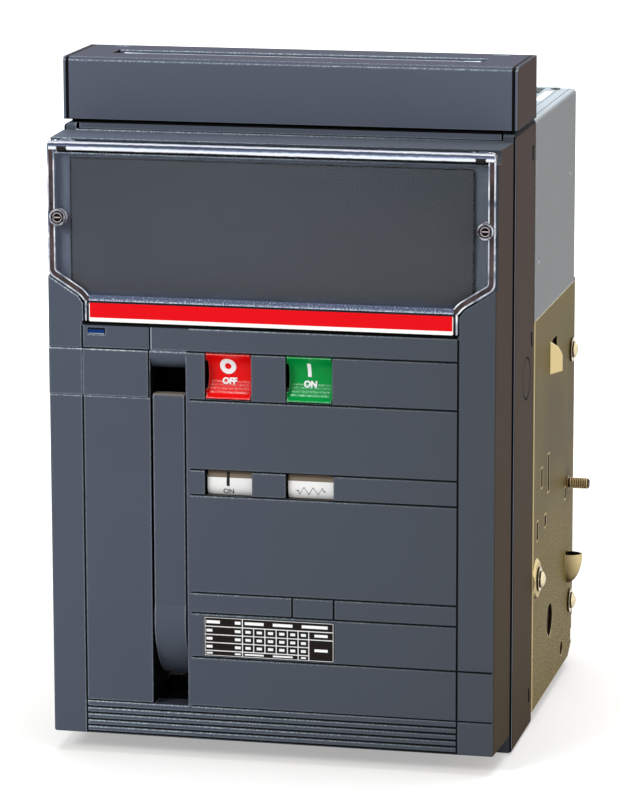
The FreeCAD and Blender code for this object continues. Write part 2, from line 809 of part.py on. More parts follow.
def flag(window):
    # A drum sector on an arm: the window shows half of its face at each end of the turn
    x0 = window[0] + flag_side_gap
    x1 = window[1] - flag_side_gap
    full = round_x(x0, x1, flag_axis_y, flag_axis_z, flag_radius)
    hollow = round_x(x0 + flag_wall, x1 - flag_wall, flag_axis_y, flag_axis_z, flag_radius - flag_wall)
    reach = 3 * flag_radius
    wedge = [(flag_axis_y, flag_axis_z)]
    steps = 4
    for i in range(steps + 1):
        angle = math.radians(flag_low_angle + (flag_high_angle - flag_low_angle) * i / steps)
        wedge.append((flag_axis_y - reach * math.cos(angle), flag_axis_z + reach * math.sin(angle)))
    sector = full.cut(hollow).common(profile_x(wedge, x0 - 1, x1 + 1))
    hub = round_x(x0, x1, flag_axis_y, flag_axis_z, flag_hub_radius)
    bore = round_x(x0 - 1, x1 + 1, flag_axis_y, flag_axis_z, flag_axle_radius + running_gap)
    return sector.fuse(hub).cut(bore)


# Charging lever, ratchet and cam


def lever_outline(x):
    hub_front = lever_axis_y - lever_hub_radius
    front = [(lever_front, lever_top), (lever_front, lever_curve_top)]
    edges = [Part.makeLine(V(x, *front[0]), V(x, *front[1]))]
    chin = (lever_axis_y - 26.0, lever_axis_z - 16.0)
    bend = (lever_front + 6.9, lever_curve_top - 35.5)
    edges.append(Part.Arc(V(x, *front[1]), V(x, *bend), V(x, *chin)).toShape())
    low = (lever_axis_y, lever_axis_z - lever_hub_radius)
    rear = (lever_axis_y + lever_hub_radius, lever_axis_z)
    high = (lever_axis_y + lever_hub_radius * 0.6, lever_axis_z + lever_hub_radius * 0.8)
    edges.append(Part.makeLine(V(x, *chin), V(x, *low)))
    edges.append(Part.Arc(V(x, *low), V(x, *rear), V(x, *high)).toShape())
    inner_y = lever_front + lever_thickness
    chain = [high, (hub_front - 12, lever_axis_z + 62), (inner_y, lever_axis_z + 92), (inner_y, lever_top),
             front[0]]
    for start, end in zip(chain, chain[1:]):
        edges.append(Part.makeLine(V(x, *start), V(x, *end)))
    return Part.Face(Part.Wire(edges))


def pawl_pin_place():
    angle = math.radians(pawl_pin_angle)
    return (lever_axis_y - pawl_pin_distance * math.cos(angle),
            lever_axis_z + pawl_pin_distance * math.sin(angle))


def charging_lever():
    body = lever_outline(lever_left).extrude(V(lever_right - lever_left, 0, 0))
    body = rounded(body, 2.0, V(1, 0, 0), lambda c: c.z > lever_top - 1)
    pocket_x = lever_left + lever_cheek
    pin_y, pin_z = pawl_pin_place()
    wheel_room = round_x(pocket_x, lever_right + 1, lever_axis_y, lever_axis_z, ratchet_radius + 1.2)
    rear_room = block(pocket_x, lever_right + 1, lever_axis_y - 31, lever_axis_y + 40,
                      lever_axis_z - 5, lever_axis_z + 70)
    grip_room = block(lever_left + 3, lever_right - 3, lever_front + 3, lever_front + lever_thickness + 1,
                      lever_axis_z + 100, lever_top - 4)
    lower_room = block(pocket_x, lever_right + 1, lever_axis_y - 22, lever_axis_y + 20, lever_axis_z - 40,
                       lever_axis_z)
    bore = round_x(lever_left - 1, lever_right + 1, lever_axis_y, lever_axis_z,
                   charging_shaft_radius + running_gap)
    pin = round_x(pocket_x - 2, ratchet_left + ratchet_width, pin_y, pin_z, pawl_pin_radius)
    body = body.cut([wheel_room, rear_room, lower_room, grip_room, bore]).fuse(pin)
    save("charging_lever", body)


def lever_pawl():
    pin_y, pin_z = pawl_pin_place()
    away = math.radians(pawl_pin_angle)
    tip_distance = ratchet_radius + body_gap
    tip_angle = away - math.radians(28.0)
    tip = (lever_axis_y - tip_distance * math.cos(tip_angle),
           lever_axis_z + tip_distance * math.sin(tip_angle))
    back_angle = away - math.radians(20.0)
    back = (lever_axis_y - (tip_distance + 4.5) * math.cos(tip_angle),
            lever_axis_z + (tip_distance + 4.5) * math.sin(tip_angle))
    heel = (lever_axis_y - (tip_distance + 2.0) * math.cos(back_angle),
            lever_axis_z + (tip_distance + 2.0) * math.sin(back_angle))
    hub_radius = 4.6
    low = (pin_y + hub_radius * 0.5, pin_z - hub_radius * 0.8)
    high = (pin_y - hub_radius * 0.9, pin_z - hub_radius * 0.3)
    x0 = ratchet_left + running_gap
    x1 = ratchet_left + ratchet_width - running_gap
    arm = profile_x([high, back, tip, heel, low], x0, x1)
    hub = round_x(x0, x1, pin_y, pin_z, hub_radius)
    bore = round_x(x0 - 1, x1 + 1, pin_y, pin_z, pawl_pin_radius + running_gap)
    save("lever_pawl", arm.fuse(hub).cut(bore))


def ratchet_wheel():
    points = []
    for i in range(ratchet_teeth):
        start = 2 * math.pi * i / ratchet_teeth
        end = start + 2 * math.pi / ratchet_teeth
        root = ratchet_radius - ratchet_tooth_depth
        points.append((lever_axis_y + ratchet_radius * math.cos(start),
                       lever_axis_z + ratchet_radius * math.sin(start)))
        points.append((lever_axis_y + root * math.cos(start + 0.03),
                       lever_axis_z + root * math.sin(start + 0.03)))
        points.append((lever_axis_y + (ratchet_radius - 0.6) * math.cos(end - 0.03),
                       lever_axis_z + (ratchet_radius - 0.6) * math.sin(end - 0.03)))
    x1 = ratchet_left + ratchet_width
    wheel = profile_x(points, ratchet_left, x1)
    collar = round_x(x1, slot_right - body_gap, lever_axis_y, lever_axis_z, charging_shaft_radius + 4)
    bore = round_x(ratchet_left - 1, x1 + 5, lever_axis_y, lever_axis_z, charging_shaft_radius)
    save("ratchet_wheel", wheel.fuse(collar).cut(bore))


def charging_shaft():
    left = lever_left - 0.4
    right = mechanism_half_width + 6.0
    save("charging_shaft", round_x(left, right, lever_axis_y, lever_axis_z, charging_shaft_radius))


def cam_radius(turn):
    # Rises evenly over its working turn, dwells, then falls back
    if turn <= cam_turn_degrees:
        return cam_base_radius + cam_rise * turn / cam_turn_degrees
    if turn <= cam_turn_degrees + 15:
        return cam_base_radius + cam_rise
    return cam_base_radius + cam_rise * max(0.0, 1 - (turn - cam_turn_degrees - 15) / 150)


def charging_cam():
    # Arcs through the rising flank, the dwell and the falling flank
    def place(turn):
        angle = math.radians(90 - turn)
        return V(-cam_width / 2, lever_axis_y + cam_radius(turn) * math.cos(angle),
                 lever_axis_z + cam_radius(turn) * math.sin(angle))
    turns = [0, cam_turn_degrees / 2, cam_turn_degrees, cam_turn_degrees + 15, 240, 315, 360]
    edges = []
    for start, end in zip(turns, turns[1:]):
        edges.append(Part.Arc(place(start), place((start + end) / 2), place(end)).toShape())
    cam = Part.Face(Part.Wire(edges)).extrude(V(cam_width, 0, 0))
    bore = round_x(-cam_width, cam_width, lever_axis_y, lever_axis_z, charging_shaft_radius)
    save("charging_cam", cam.cut(bore))


# Mechanism plates and what they carry


def trip_shaft_z():
    return button_z + trip_axis_rise


def close_shaft_z():
    return button_z - trip_axis_rise


def spacer_places():
    return [(mechanism_rear - 10, mechanism_top - 12), (mechanism_rear - 60, pivot_z + 16),
            (mechanism_rear - 10, mechanism_bottom + 12), (mechanism_front + 8, mechanism_top - 12)]


def mechanism_plate():
    # The right-hand plate, with a foot that stands against the pole base
    t = mechanism_plate_thickness
    foot_rear = base_front - body_gap
    outline = [(mechanism_front, mechanism_bottom), (mechanism_rear, mechanism_bottom),
               (mechanism_rear, mechanism_foot_z[0]), (foot_rear, mechanism_foot_z[0]),
               (foot_rear, mechanism_foot_z[1]), (mechanism_rear, mechanism_foot_z[1] + 24),
               (mechanism_rear, mechanism_top), (mechanism_nose_front, mechanism_top),
               (mechanism_nose_front, mechanism_nose_bottom), (mechanism_front, mechanism_nose_bottom - 20)]
    plate = profile_x(outline, mechanism_inner, mechanism_half_width)
    foot = block(mechanism_inner, mechanism_half_width + mechanism_foot_width, foot_rear - t, foot_rear,
                 mechanism_foot_z[0], mechanism_foot_z[1])
    seat = running_gap
    cuts = [round_x(mechanism_inner - 1, mechanism_half_width + 1, y, z, spacer_radius - 2 + seat)
            for y, z in spacer_places()]
    x0 = mechanism_inner - 1
    x1 = mechanism_half_width + 1
    cuts.append(round_x(x0, x1, main_axis_y, pivot_z, main_shaft_radius + 3 + seat))
    cuts.append(round_x(x0, x1, lever_axis_y, lever_axis_z, charging_shaft_radius + 3 + seat))
    cuts.append(round_x(x0, x1, flag_axis_y, flag_axis_z, flag_axle_radius + seat))
    for z in (trip_shaft_z(), close_shaft_z()):
        cuts.append(round_x(x0, x1, trip_axis_y, z, trip_journal_radius + running_gap))
    # Window that lightens the plate
    window = block(x0, x1, *mechanism_window_y, *mechanism_window_z)
    cuts.append(rounded(window, 8.0, V(1, 0, 0)))
    return plate.fuse(foot).cut(cuts)


def mechanism_rods():
    rods = []
    for y, z in spacer_places():
        middle = profile_x(hexagon(y, z, spacer_radius), -mechanism_inner, mechanism_inner)
        ends = round_x(-mechanism_half_width - 3, mechanism_half_width + 3, y, z, spacer_radius - 2)
        rods.append(middle.fuse(ends))
    rods.append(round_x(-mechanism_half_width - 2, mechanism_half_width + 2, flag_axis_y, flag_axis_z,
                        flag_axle_radius))
    save_group("mechanism_rods", rods)


def latch_shaft(z, arm_x, direction):
    inner = mechanism_inner - body_gap
    shaft = round_x(-inner, inner, trip_axis_y, z, trip_shaft_radius)
    journals = round_x(-mechanism_half_width - 1, mechanism_half_width + 1, trip_axis_y, z,
                       trip_journal_radius)
    reach = trip_axis_rise + 2.5
    z0 = min(z, z + direction * reach)
    z1 = max(z, z + direction * reach)
    front = trip_axis_y - trip_arm_front
    arm = block(arm_x - trip_arm_width / 2, arm_x + trip_arm_width / 2, front, front + trip_arm_thickness,
                z0, z1)
    # Half-moon flat in the middle, which holds or frees a latch
    flat = block(-6, 6, trip_axis_y + 0.5, trip_axis_y + trip_shaft_radius + 1, z - 6, z + 6)
    return shaft.fuse([journals, arm]).cut(flat)


def spring_carriage():
    roller_z = lever_axis_z + cam_base_radius + cam_gap + carriage_roller_radius
    bar_bottom = spring_foot_z - carriage_height
    bar = block(-carriage_half_width, carriage_half_width, lever_axis_y - carriage_depth / 2,
                lever_axis_y + carriage_depth / 2, bar_bottom, spring_foot_z)
    bar = rounded(bar, 3.0, V(0, 0, 1))
    forks = []
    for side in (-1, 1):
        inner = side * carriage_fork_gap
        outer = side * (carriage_fork_gap + carriage_fork_wall)
        x0 = min(inner, outer)
        x1 = max(inner, outer)
        forks.append(profile_x([(lever_axis_y - 7, bar_bottom), (lever_axis_y - 7, roller_z - 1),
                                (lever_axis_y - 4, roller_z - 4.5), (lever_axis_y + 4, roller_z - 4.5),
                                (lever_axis_y + 7, roller_z - 1), (lever_axis_y + 7, bar_bottom)], x0, x1))
    roller = round_x(-carriage_fork_gap, carriage_fork_gap, lever_axis_y, roller_z, carriage_roller_radius)
    holes = [round_z(bar_bottom - 1, spring_foot_z + 1, side * spring_x, lever_axis_y,
                     guide_rod_radius + 0.3) for side in (-1, 1)]
    save("spring_carriage", bar.fuse(forks).fuse(roller).cut(holes))


def closing_springs():
    # Square wire wound in short straight lengths
    half = spring_wire / 2
    rise = (spring_length - spring_wire) / (spring_turns * spring_steps)
    rings = []
    for i in range(spring_turns * spring_steps + 1):
        angle = 2 * math.pi * i / spring_steps
        ring = []
        for out, up in ((-half, 0), (half, 0), (half, spring_wire), (-half, spring_wire)):
            reach = spring_mean_radius + out
            ring.append(V(reach * math.cos(angle), reach * math.sin(angle), i * rise + up))
        rings.append(ring)
    faces = [Part.Face(Part.makePolygon(ring + ring[:1])) for ring in (rings[0], rings[-1])]
    for here, after in zip(rings, rings[1:]):
        for a, b in ((1, 2), (3, 0)):
            corners = [here[a], after[a], after[b], here[b]]
            faces.append(Part.Face(Part.makePolygon(corners + corners[:1])))
        for a, b in ((0, 1), (2, 3)):
            for corners in ([here[a], after[a], after[b]], [here[a], after[b], here[b]]):
                faces.append(Part.Face(Part.makePolygon(corners + corners[:1])))
    coil = Part.Solid(Part.makeShell(faces))
    if coil.Volume < 0:
        coil.reverse()
    springs = []
    for side in (-1, 1):
        spring = coil.copy()
        spring.translate(V(side * spring_x, lever_axis_y, spring_foot_z))
        springs.append(spring)
    save_group("closing_springs", springs)


def spring_anchor():
    plate = block(-mechanism_inner, mechanism_inner, lever_axis_y - carriage_depth / 2 - 2,
                  lever_axis_y + carriage_depth / 2 + 2, anchor_z, anchor_z + anchor_thickness)
    rods = [round_z(spring_foot_z - carriage_height - 6, anchor_z + 1, side * spring_x, lever_axis_y,
                    guide_rod_radius) for side in (-1, 1)]
    save("spring_anchor", plate.fuse(rods))


def auxiliary_switch():
    x0 = mechanism_half_width
    body = block(x0, x0 + aux_length, aux_y[0], aux_y[1], aux_z[0], aux_z[1])
    body = rounded(body, 2.0, V(1, 0, 0))
    adds = []
    cuts = []
    for i in range(aux_pocket_count):
        x = x0 + aux_length * (i + 0.5) / aux_pocket_count
        for z, end in ((aux_z[1] - 6, aux_z[1]), (aux_z[0] + 6, aux_z[0])):
            reach = 2 * end - z
            cuts.append(block(x - 4, x + 4, aux_y[1] - 6, aux_y[1] + 1, min(z, reach) - 6, max(z, reach) + 6))
            adds.append(profile_y(hexagon(x, z, 2.6), aux_y[1] - 7, aux_y[1] - 4))
    save("auxiliary_switch", body.cut(cuts).fuse(adds))


# Main shaft, rods and moving contacts


def crank_outline(x):
    # Round foot on the shaft, straight flanks up to a rounded head
    foot = crank_foot_radius
    head = crank_head_radius
    pin_z = pivot_z + crank_radius
    places = [(-head, pin_z), (0, pin_z + head), (head, pin_z), (foot, pivot_z), (0, pivot_z - foot),
              (-foot, pivot_z)]
    top_left, top, top_right, right, bottom, left = [V(x, main_axis_y + y, z) for y, z in places]
    edges = [Part.Arc(top_left, top, top_right).toShape(), Part.makeLine(top_right, right),
             Part.Arc(right, bottom, left).toShape(), Part.makeLine(left, top_left)]
    return Part.Face(Part.Wire(edges))


def main_shaft():
    inner = side_plate_inner - bearing_depth - body_gap
    body = round_x(-inner, inner, main_axis_y, pivot_z, main_shaft_radius)
    body = body.fuse(round_x(-side_plate_inner + 4, side_plate_inner - 4, main_axis_y, pivot_z,
                             main_journal_radius))
    pin_z = pivot_z + crank_radius
    half = crank_gap / 2
    cranks = []
    for x in pole_places:
        crank = crank_outline(x - half - crank_cheek).extrude(V(crank_gap + 2 * crank_cheek, 0, 0))
        slot = block(x - half, x + half, main_axis_y - crank_foot_radius, main_axis_y + crank_foot_radius,
                     pivot_z + crank_slot_foot, pin_z + crank_foot_radius)
        cranks.append(crank.cut(slot))
        cranks.append(round_x(x - half, x + half, main_axis_y, pin_z, crank_pin_radius))
    save("main_shaft", body.fuse(cranks).removeSplitter())


def shaft_bearings():
    bearings = []
    for side in (-1, 1):
        outer = side * side_plate_inner
        inner = side * (side_plate_inner - bearing_depth)
        x0 = min(outer, inner)
        x1 = max(outer, inner)
        bearing = block(x0, x1, main_axis_y - 21, main_axis_y + 16, pivot_z - 20, pivot_z + 18)
        bearing = rounded(bearing, 5.0, V(1, 0, 0))
        bore = round_x(x0 - 1, x1 + 1, main_axis_y, pivot_z, main_journal_radius + running_gap)
        screw_y, screw_z = side_screw_places[-1]
        hole = round_x(x0 - 1, x1 + 1, screw_y, screw_z, side_screw_radius + running_gap)
        bearings.append(bearing.cut([bore, hole]))
        for y, z, radius in ((main_axis_y, pivot_z, main_shaft_radius),
                             (lever_axis_y, lever_axis_z, charging_shaft_radius)):
            plate_in = side * mechanism_inner
            end = side * mechanism_half_width
            bush = round_x(min(plate_in, end), max(plate_in, end), y, z, radius + 3)
            hole = round_x(-mechanism_half_width - 1, mechanism_half_width + 1, y, z, radius + running_gap)
            bearings.append(bush.cut(hole))
    save_group("shaft_bearings", bearings)


def connecting_rod(x):
    z = pivot_z + crank_radius
    half = rod_width / 2
    bar = block(x - half, x + half, main_axis_y, contact_axis_y, z - rod_height / 2, z + rod_height / 2)
    eyes = [round_x(x - half, x + half, y, z, rod_eye_radius) for y in (main_axis_y, contact_axis_y)]
    waist = []
    for side in (-1, 1):
        x0 = x + side * half - rod_waist_depth
        waist.append(block(x0, x0 + 2 * rod_waist_depth, main_axis_y + rod_waist_end,
                           contact_axis_y - rod_waist_end, z - rod_waist_half_height,
                           z + rod_waist_half_height))
    bores = [round_x(x - half - 1, x + half + 1, main_axis_y, z, crank_pin_radius + running_gap),
             round_x(x - half - 1, x + half + 1, contact_axis_y, z, crank_pin_radius + rod_open_pivot_gap)]
    return bar.fuse(eyes).cut(waist + bores)


def moving_contact(x):
    y0 = contact_axis_y - finger_depth / 2
    y1 = contact_axis_y + finger_depth / 2
    top = pivot_z + finger_top
    foot = pivot_z - contact_pin_radius - 2.5
    outline = [(y0 + 3, foot), (y1 - 3, foot), (y1, pivot_z), (y1 - 2, pivot_z + 60),
               (y1 - 2, top - 24), (y1, top - 20), (y1, top - 6), (y1 - 4, top), (y0 + 5, top),
               (y0, top - 10), (y0, pivot_z)]
    reach = finger_offsets[-1] + finger_width / 2
    cluster = profile_x(outline, x - reach, x + reach)
    # Slots that part the fingers above their common foot
    half = finger_width / 2
    gaps = [(finger_offsets[0] * -1 + half, finger_offsets[0] - half)]
    for inner, outer in zip(finger_offsets, finger_offsets[1:]):
        gaps += [(inner + half, outer - half), (half - outer, -half - inner)]
    slots = [block(x + x0, x + x1, y0 - 1, y1 + 1, pivot_z + finger_slot_foot, top + 1) for x0, x1 in gaps]
    carrier = round_x(x + gaps[0][0], x + gaps[0][1], contact_axis_y, pivot_z + crank_radius,
                      crank_pin_radius)
    spring_bar = block(x - reach - 1, x + reach + 1, y0 - 3, y0 + 3, pivot_z + finger_spring_rise[0],
                       pivot_z + finger_spring_rise[1])
    bore = round_x(x - reach - 1, x + reach + 1, contact_axis_y, pivot_z, contact_pin_radius + running_gap)
    return cluster.cut(slots).fuse([carrier, spring_bar]).cut(bore)


def contact_pins():
    reach = terminal_half_width + terminal_ear
    save_group("contact_pins", [round_x(x - reach, x + reach, contact_axis_y, pivot_z, contact_pin_radius)
                                for x in pole_places])


# Poles, terminals and arc chutes


def pole_base():
    body = block(-base_half_width, base_half_width, base_front, base_rear, base_bottom, base_top)
    cuts = []
    bar_w = terminal_half_width + seat_gap
    bar_h = terminal_thickness / 2 + seat_gap
    for x in pole_places:
        cell = block(x - cell_half_width, x + cell_half_width, base_front + base_front_wall,
                     base_rear - base_rear_wall, base_bottom + base_floor, base_top + 1)
        cuts.append(rounded(cell, 4.0, V(0, 0, 1)))
        cuts.append(block(x - rod_window_half_width, x + rod_window_half_width, base_front - 1,
                          base_front + base_front_wall + 1, rod_window_z[0], rod_window_z[1]))
        for z in (upper_terminal_z, lower_terminal_z):
            cuts.append(block(x - bar_w, x + bar_w, base_rear - base_rear_wall - 1, base_rear + 1,
                              z - bar_h, z + bar_h))
    for y, z in side_screw_places[:2]:
        for side in (-1, 1):
            end = side * base_half_width
            start = end - side * 12
            cuts.append(round_x(min(start, end), max(start, end), y, z, side_screw_radius + running_gap))
    # Pocket for the clip of the side stud
    cuts.append(round_x(base_half_width - stud_clip_thickness - seat_gap, base_half_width, stud_y, stud_z,
                        stud_clip_radius + seat_gap))
    body = body.cut(cuts)
    # Ribs between the poles on the rear face
    ribs = []
    for left, right in zip(pole_places, pole_places[1:]):
        x = (left + right) / 2
        ribs.append(block(x - barrier_thickness / 2, x + barrier_thickness / 2, base_rear - 1,
                          base_rear + barrier_depth, base_bottom + 10, base_top))
    # Rims round the terminal windows
    for x in pole_places:
        for z in (upper_terminal_z, lower_terminal_z):
            rim = block(x - bar_w - 3, x + bar_w + 3, base_rear - 1, base_rear + 3, z - bar_h - 3,
                        z + bar_h + 3)
            ribs.append(rim.cut(block(x - bar_w, x + bar_w, base_rear - 2, base_rear + 4, z - bar_h,
                                      z + bar_h)))
    save("pole_base", body.fuse(ribs).removeSplitter())


def terminal_bar(x, z, y0):
    bar = block(x - terminal_half_width, x + terminal_half_width, y0, terminal_rear,
                z - terminal_thickness / 2, z + terminal_thickness / 2)
    bar = rounded(bar, 2.0, V(0, 0, 1), lambda c: c.y > terminal_rear - 1)
    holes = [round_z(z - terminal_thickness, z + terminal_thickness, x + side * terminal_hole_spacing / 2,
                     terminal_hole_y, terminal_hole_radius) for side in (-1, 1)]
    return bar.cut(holes)


def upper_terminal(x):
    face_y = contact_axis_y + finger_depth / 2 + contact_gap
    bar = terminal_bar(x, upper_terminal_z, face_y + fixed_contact_depth - 2)
    pad = block(x - terminal_half_width + 1, x + terminal_half_width - 1, face_y,
                face_y + fixed_contact_depth, upper_terminal_z - fixed_contact_height / 2,
                upper_terminal_z + fixed_contact_height / 2)
    pad = rounded(pad, 4.0, V(1, 0, 0), lambda c: c.y < face_y + 0.1)
    return bar.fuse(pad)


def lower_terminal(x):
    y0 = contact_axis_y - 14.0
    bar = terminal_bar(x, lower_terminal_z, y0)
    ears = []
    for side in (-1, 1):
        inner = x + side * terminal_half_width
        outer = inner + side * terminal_ear
        x0 = min(inner, outer)
        x1 = max(inner, outer)
        low = lower_terminal_z - terminal_thickness / 2
        ears.append(profile_x([(contact_axis_y + y, z) for y, z in
                               ((-14, low), (14, low), (14, pivot_z - 4), (8, pivot_z + 12),
                                (-8, pivot_z + 12), (-14, pivot_z - 4))], x0, x1))
    bore = round_x(x - 50, x + 50, contact_axis_y, pivot_z, contact_pin_radius)
    finger_room = block(x - terminal_half_width + 0.001, x + terminal_half_width - 0.001,
                        contact_axis_y - 12, contact_axis_y + 12,
                        lower_terminal_z + terminal_thickness / 2 - 0.001, pivot_z)
    return bar.fuse(ears).cut([bore, finger_room])


def arc_chute(x):
    bottom = base_top + body_gap
    half = chute_half_width
    top = chute_top
    walls = [block(x - half, x - half + chute_wall, chute_front, chute_rear, bottom, top),
             block(x + half - chute_wall, x + half, chute_front, chute_rear, bottom, top),
             block(x - half, x + half, chute_front, chute_front + chute_wall, bottom + 8, top),
             block(x - half, x + half, chute_rear - chute_wall, chute_rear, bottom + 8, top)]
    vent = block(x - half, x + half, chute_front, chute_rear, top - vent_thickness, top)
    inner_front = chute_front + chute_wall
    inner_rear = chute_rear - chute_wall
    pitch = (inner_rear - inner_front) / (splitter_count + 1)
    slots = []
    for i in range(splitter_count + 1):
        y = inner_front + pitch * (i + 0.5)
        slots.append(block(x - half + vent_slot_end, x + half - vent_slot_end, y - vent_slot_width / 2,
                           y + vent_slot_width / 2, top - vent_thickness - 1, top + 1))
    case = walls[0].fuse(walls[1:] + [vent]).cut(slots)
    plates = []
    plate_half = half - chute_wall
    low = bottom + splitter_bottom_rise
    for i in range(splitter_count):
        y = inner_front + pitch * (i + 1)
        notch = splitter_notch_half_width
        outline = [(x - plate_half, low), (x - notch, low), (x - 3, low + splitter_notch_height),
                   (x + 3, low + splitter_notch_height), (x + notch, low), (x + plate_half, low),
                   (x + plate_half, top - vent_thickness), (x - plate_half, top - vent_thickness)]
        plates.append(profile_y(outline, y - splitter_thickness / 2, y + splitter_thickness / 2))
    return [case] + plates


# Outer housing


def upper_housing():
    shell = block(-housing_half_width, housing_half_width, frame_rear, housing_rear, housing_split_z,
                  housing_top)
    shell = rounded(shell, housing_edge_radius, V(0, 1, 0), lambda c: c.z > housing_top - 1)
    shell = rounded(shell, housing_edge_radius, V(0, 0, 1), lambda c: c.y > housing_rear - 1)
    wall = housing_wall
    hollow = block(-housing_half_width + wall, housing_half_width - wall, frame_rear - 1,
                   housing_rear - wall, housing_split_z - 1, housing_top - wall)
    cuts = [hollow]
    for x in pole_places:
        cuts.append(block(x - housing_window_half_width, x + housing_window_half_width, chute_front + 3,
                          chute_rear - 3, housing_top - wall - 1, housing_top + 1))
    for y, z in housing_holes:
        cuts.append(round_x(-housing_half_width - 1, housing_half_width + 1, y, z, housing_hole_radius))
    save("upper_housing", shell.cut(cuts))


def side_tongue():
    # A tongue lanced out of the plate and bent outwards, its upper corner sloped
    x1 = housing_half_width
    front = tongue_y[0]
    low, high = tongue_z
    length = math.hypot(tongue_rise, tongue_back)
    side_x = tongue_wall * tongue_back / length
    side_y = tongue_wall * tongue_rise / length
    tip_x = x1 + tongue_rise
    tip_y = front + tongue_back
    tongue = profile_z([(x1 - tongue_wall, front - 1), (x1, front - 1), (x1, front), (tip_x, tip_y),
                        (tip_x - side_x, tip_y + side_y), (x1 - side_x, front + side_y),
                        (x1 - tongue_wall, front + side_y - 0.4)], low, high)
    middle = (x1 + 0.6 * tongue_rise, high - 0.4 * (high - tongue_tip_z[1]))
    face = profile_y([(x1 - 3, low), (x1, low), (tip_x, tongue_tip_z[0]), (tip_x, tongue_tip_z[1]), middle,
                      (x1, high), (x1 - 3, high)], front - 2, tip_y + 2 * tongue_wall)
    return tongue.common(face)


def hook_form(wall):
    # A cup pressed out of the plate: a quarter of an ellipsoid, smaller by its wall
    stretch = FreeCAD.Matrix()
    stretch.scale(hook_rise - wall, (hook_y[1] - hook_y[0]) / 2 - wall, hook_z[1] - hook_z[0] - wall)
    cup = Part.makeSphere(1.0).transformGeometry(stretch)
    cup.translate(V(housing_half_width, sum(hook_y) / 2, hook_z[1]))
    return cup


def side_plate():
    # The right-hand plate: flat steel with pressed forms and a foot flange
    x0 = side_plate_inner
    x1 = housing_half_width
    outline = [(frame_rear, side_plate_bottom), (side_corner_y, side_plate_bottom),
               (housing_rear, side_corner_z), (housing_rear, housing_split_z),
               (frame_rear, housing_split_z)]
    plate = profile_x(outline, x0, x1)
    flange = block(x1 - side_flange_width, x1, side_flange_y[0], side_flange_y[1], side_plate_bottom,
                   side_plate_bottom + plate_thickness_side)
    boss_y, boss_z = side_screw_places[-1]
    boss = Part.makeCone(boss_radius + boss_rise, boss_radius, boss_rise, V(x1, boss_y, boss_z), V(1, 0, 0))
    boss = boss.common(block(x1 - 1, x1 + 5, frame_rear, housing_rear, 0, housing_top))
    window = block(x0 - 1, x1 + 1, tongue_y[0], tongue_y[1], tongue_z[0], tongue_z[1])
    top = hook_z[1]
    hook = hook_form(0).common(block(x1 - 0.5, x1 + 2 * hook_rise, frame_rear, housing_rear, 0, top))
    hook_room = hook_form(hook_wall).common(block(x0 - 1, x1 + 2 * hook_rise, frame_rear, housing_rear, 0,
                                                  top + hook_slit))
    body = plate.fuse([flange, boss]).cut(window).fuse([side_tongue(), hook]).cut(hook_room)
    cuts = []
    for y, z, width, height in side_slots:
        cuts.append(block(x0 - 1, x1 + 1, y - width / 2, y + width / 2, z - height / 2, z + height / 2))
    for y, z, radius in side_holes:
        cuts.append(round_x(x0 - 1, x1 + 1, y, z, radius))
    for y, z in side_screw_places:
        cuts.append(round_x(x0 - 1, x1 + 5, y, z, side_screw_radius + seat_gap))
    cuts.append(block(x0 - 1, x1 + 1, housing_rear - 3.2, housing_rear + 1, side_corner_z + 1,
                      side_corner_z + 9.6))
    for y in foot_screw_y:
        cuts.append(round_z(side_plate_bottom - 1, side_plate_bottom + 4, foot_screw_x, y,
                            foot_screw_radius + seat_gap))
    return body.cut(cuts)


def side_stud():
    face = housing_half_width + stud_shoulder_rise
    tip = housing_half_width + stud_reach
    stud = round_x(face, tip - stud_tip, stud_y, stud_z, stud_radius)
    end = Part.makeCone(stud_radius, stud_radius - stud_tip, stud_tip, V(tip - stud_tip, stud_y, stud_z),
                        V(1, 0, 0))
    shoulder = round_x(side_plate_inner, face, stud_y, stud_z, stud_shoulder_radius)
    clip = round_x(side_plate_inner - stud_clip_thickness, side_plate_inner, stud_y, stud_z,
                   stud_clip_radius)
    save("side_stud", stud.fuse([end, shoulder, clip]))


def side_screws():
    # Domed heads on washers
    screws = []
    for y, z in side_screw_places:
        seat = housing_half_width + (boss_rise if (y, z) == side_screw_places[-1] else 0.0)
        face = seat + side_washer_thickness
        shoulder = face + side_screw_head_height / 3
        top = face + side_screw_head_height
        foot = side_plate_inner - side_screw_reach
        line = [(foot, 0), (foot, side_screw_radius), (seat, side_screw_radius), (seat, side_washer_radius),
                (face, side_washer_radius), (face, side_screw_head_radius),
                (shoulder, side_screw_head_radius)]
        corners = [V(x, y, z + radius) for x, radius in line]
        edges = [Part.makeLine(a, b) for a, b in zip(corners, corners[1:])]
        rise = top - shoulder
        dome_radius = (side_screw_head_radius ** 2 + rise ** 2) / (2 * rise)
        half_radius = side_screw_head_radius / 2
        middle = V(top - dome_radius + math.sqrt(dome_radius ** 2 - half_radius ** 2), y, z + half_radius)
        edges.append(Part.Arc(corners[-1], middle, V(top, y, z)).toShape())
        edges.append(Part.makeLine(V(top, y, z), corners[0]))
        screw = Part.Face(Part.Wire(edges)).revolve(V(0, y, z), V(1, 0, 0), 360)
        if screw.Volume < 0:
            screw.reverse()
        screws += both_sides(screw)
    save_group("side_screws", screws)


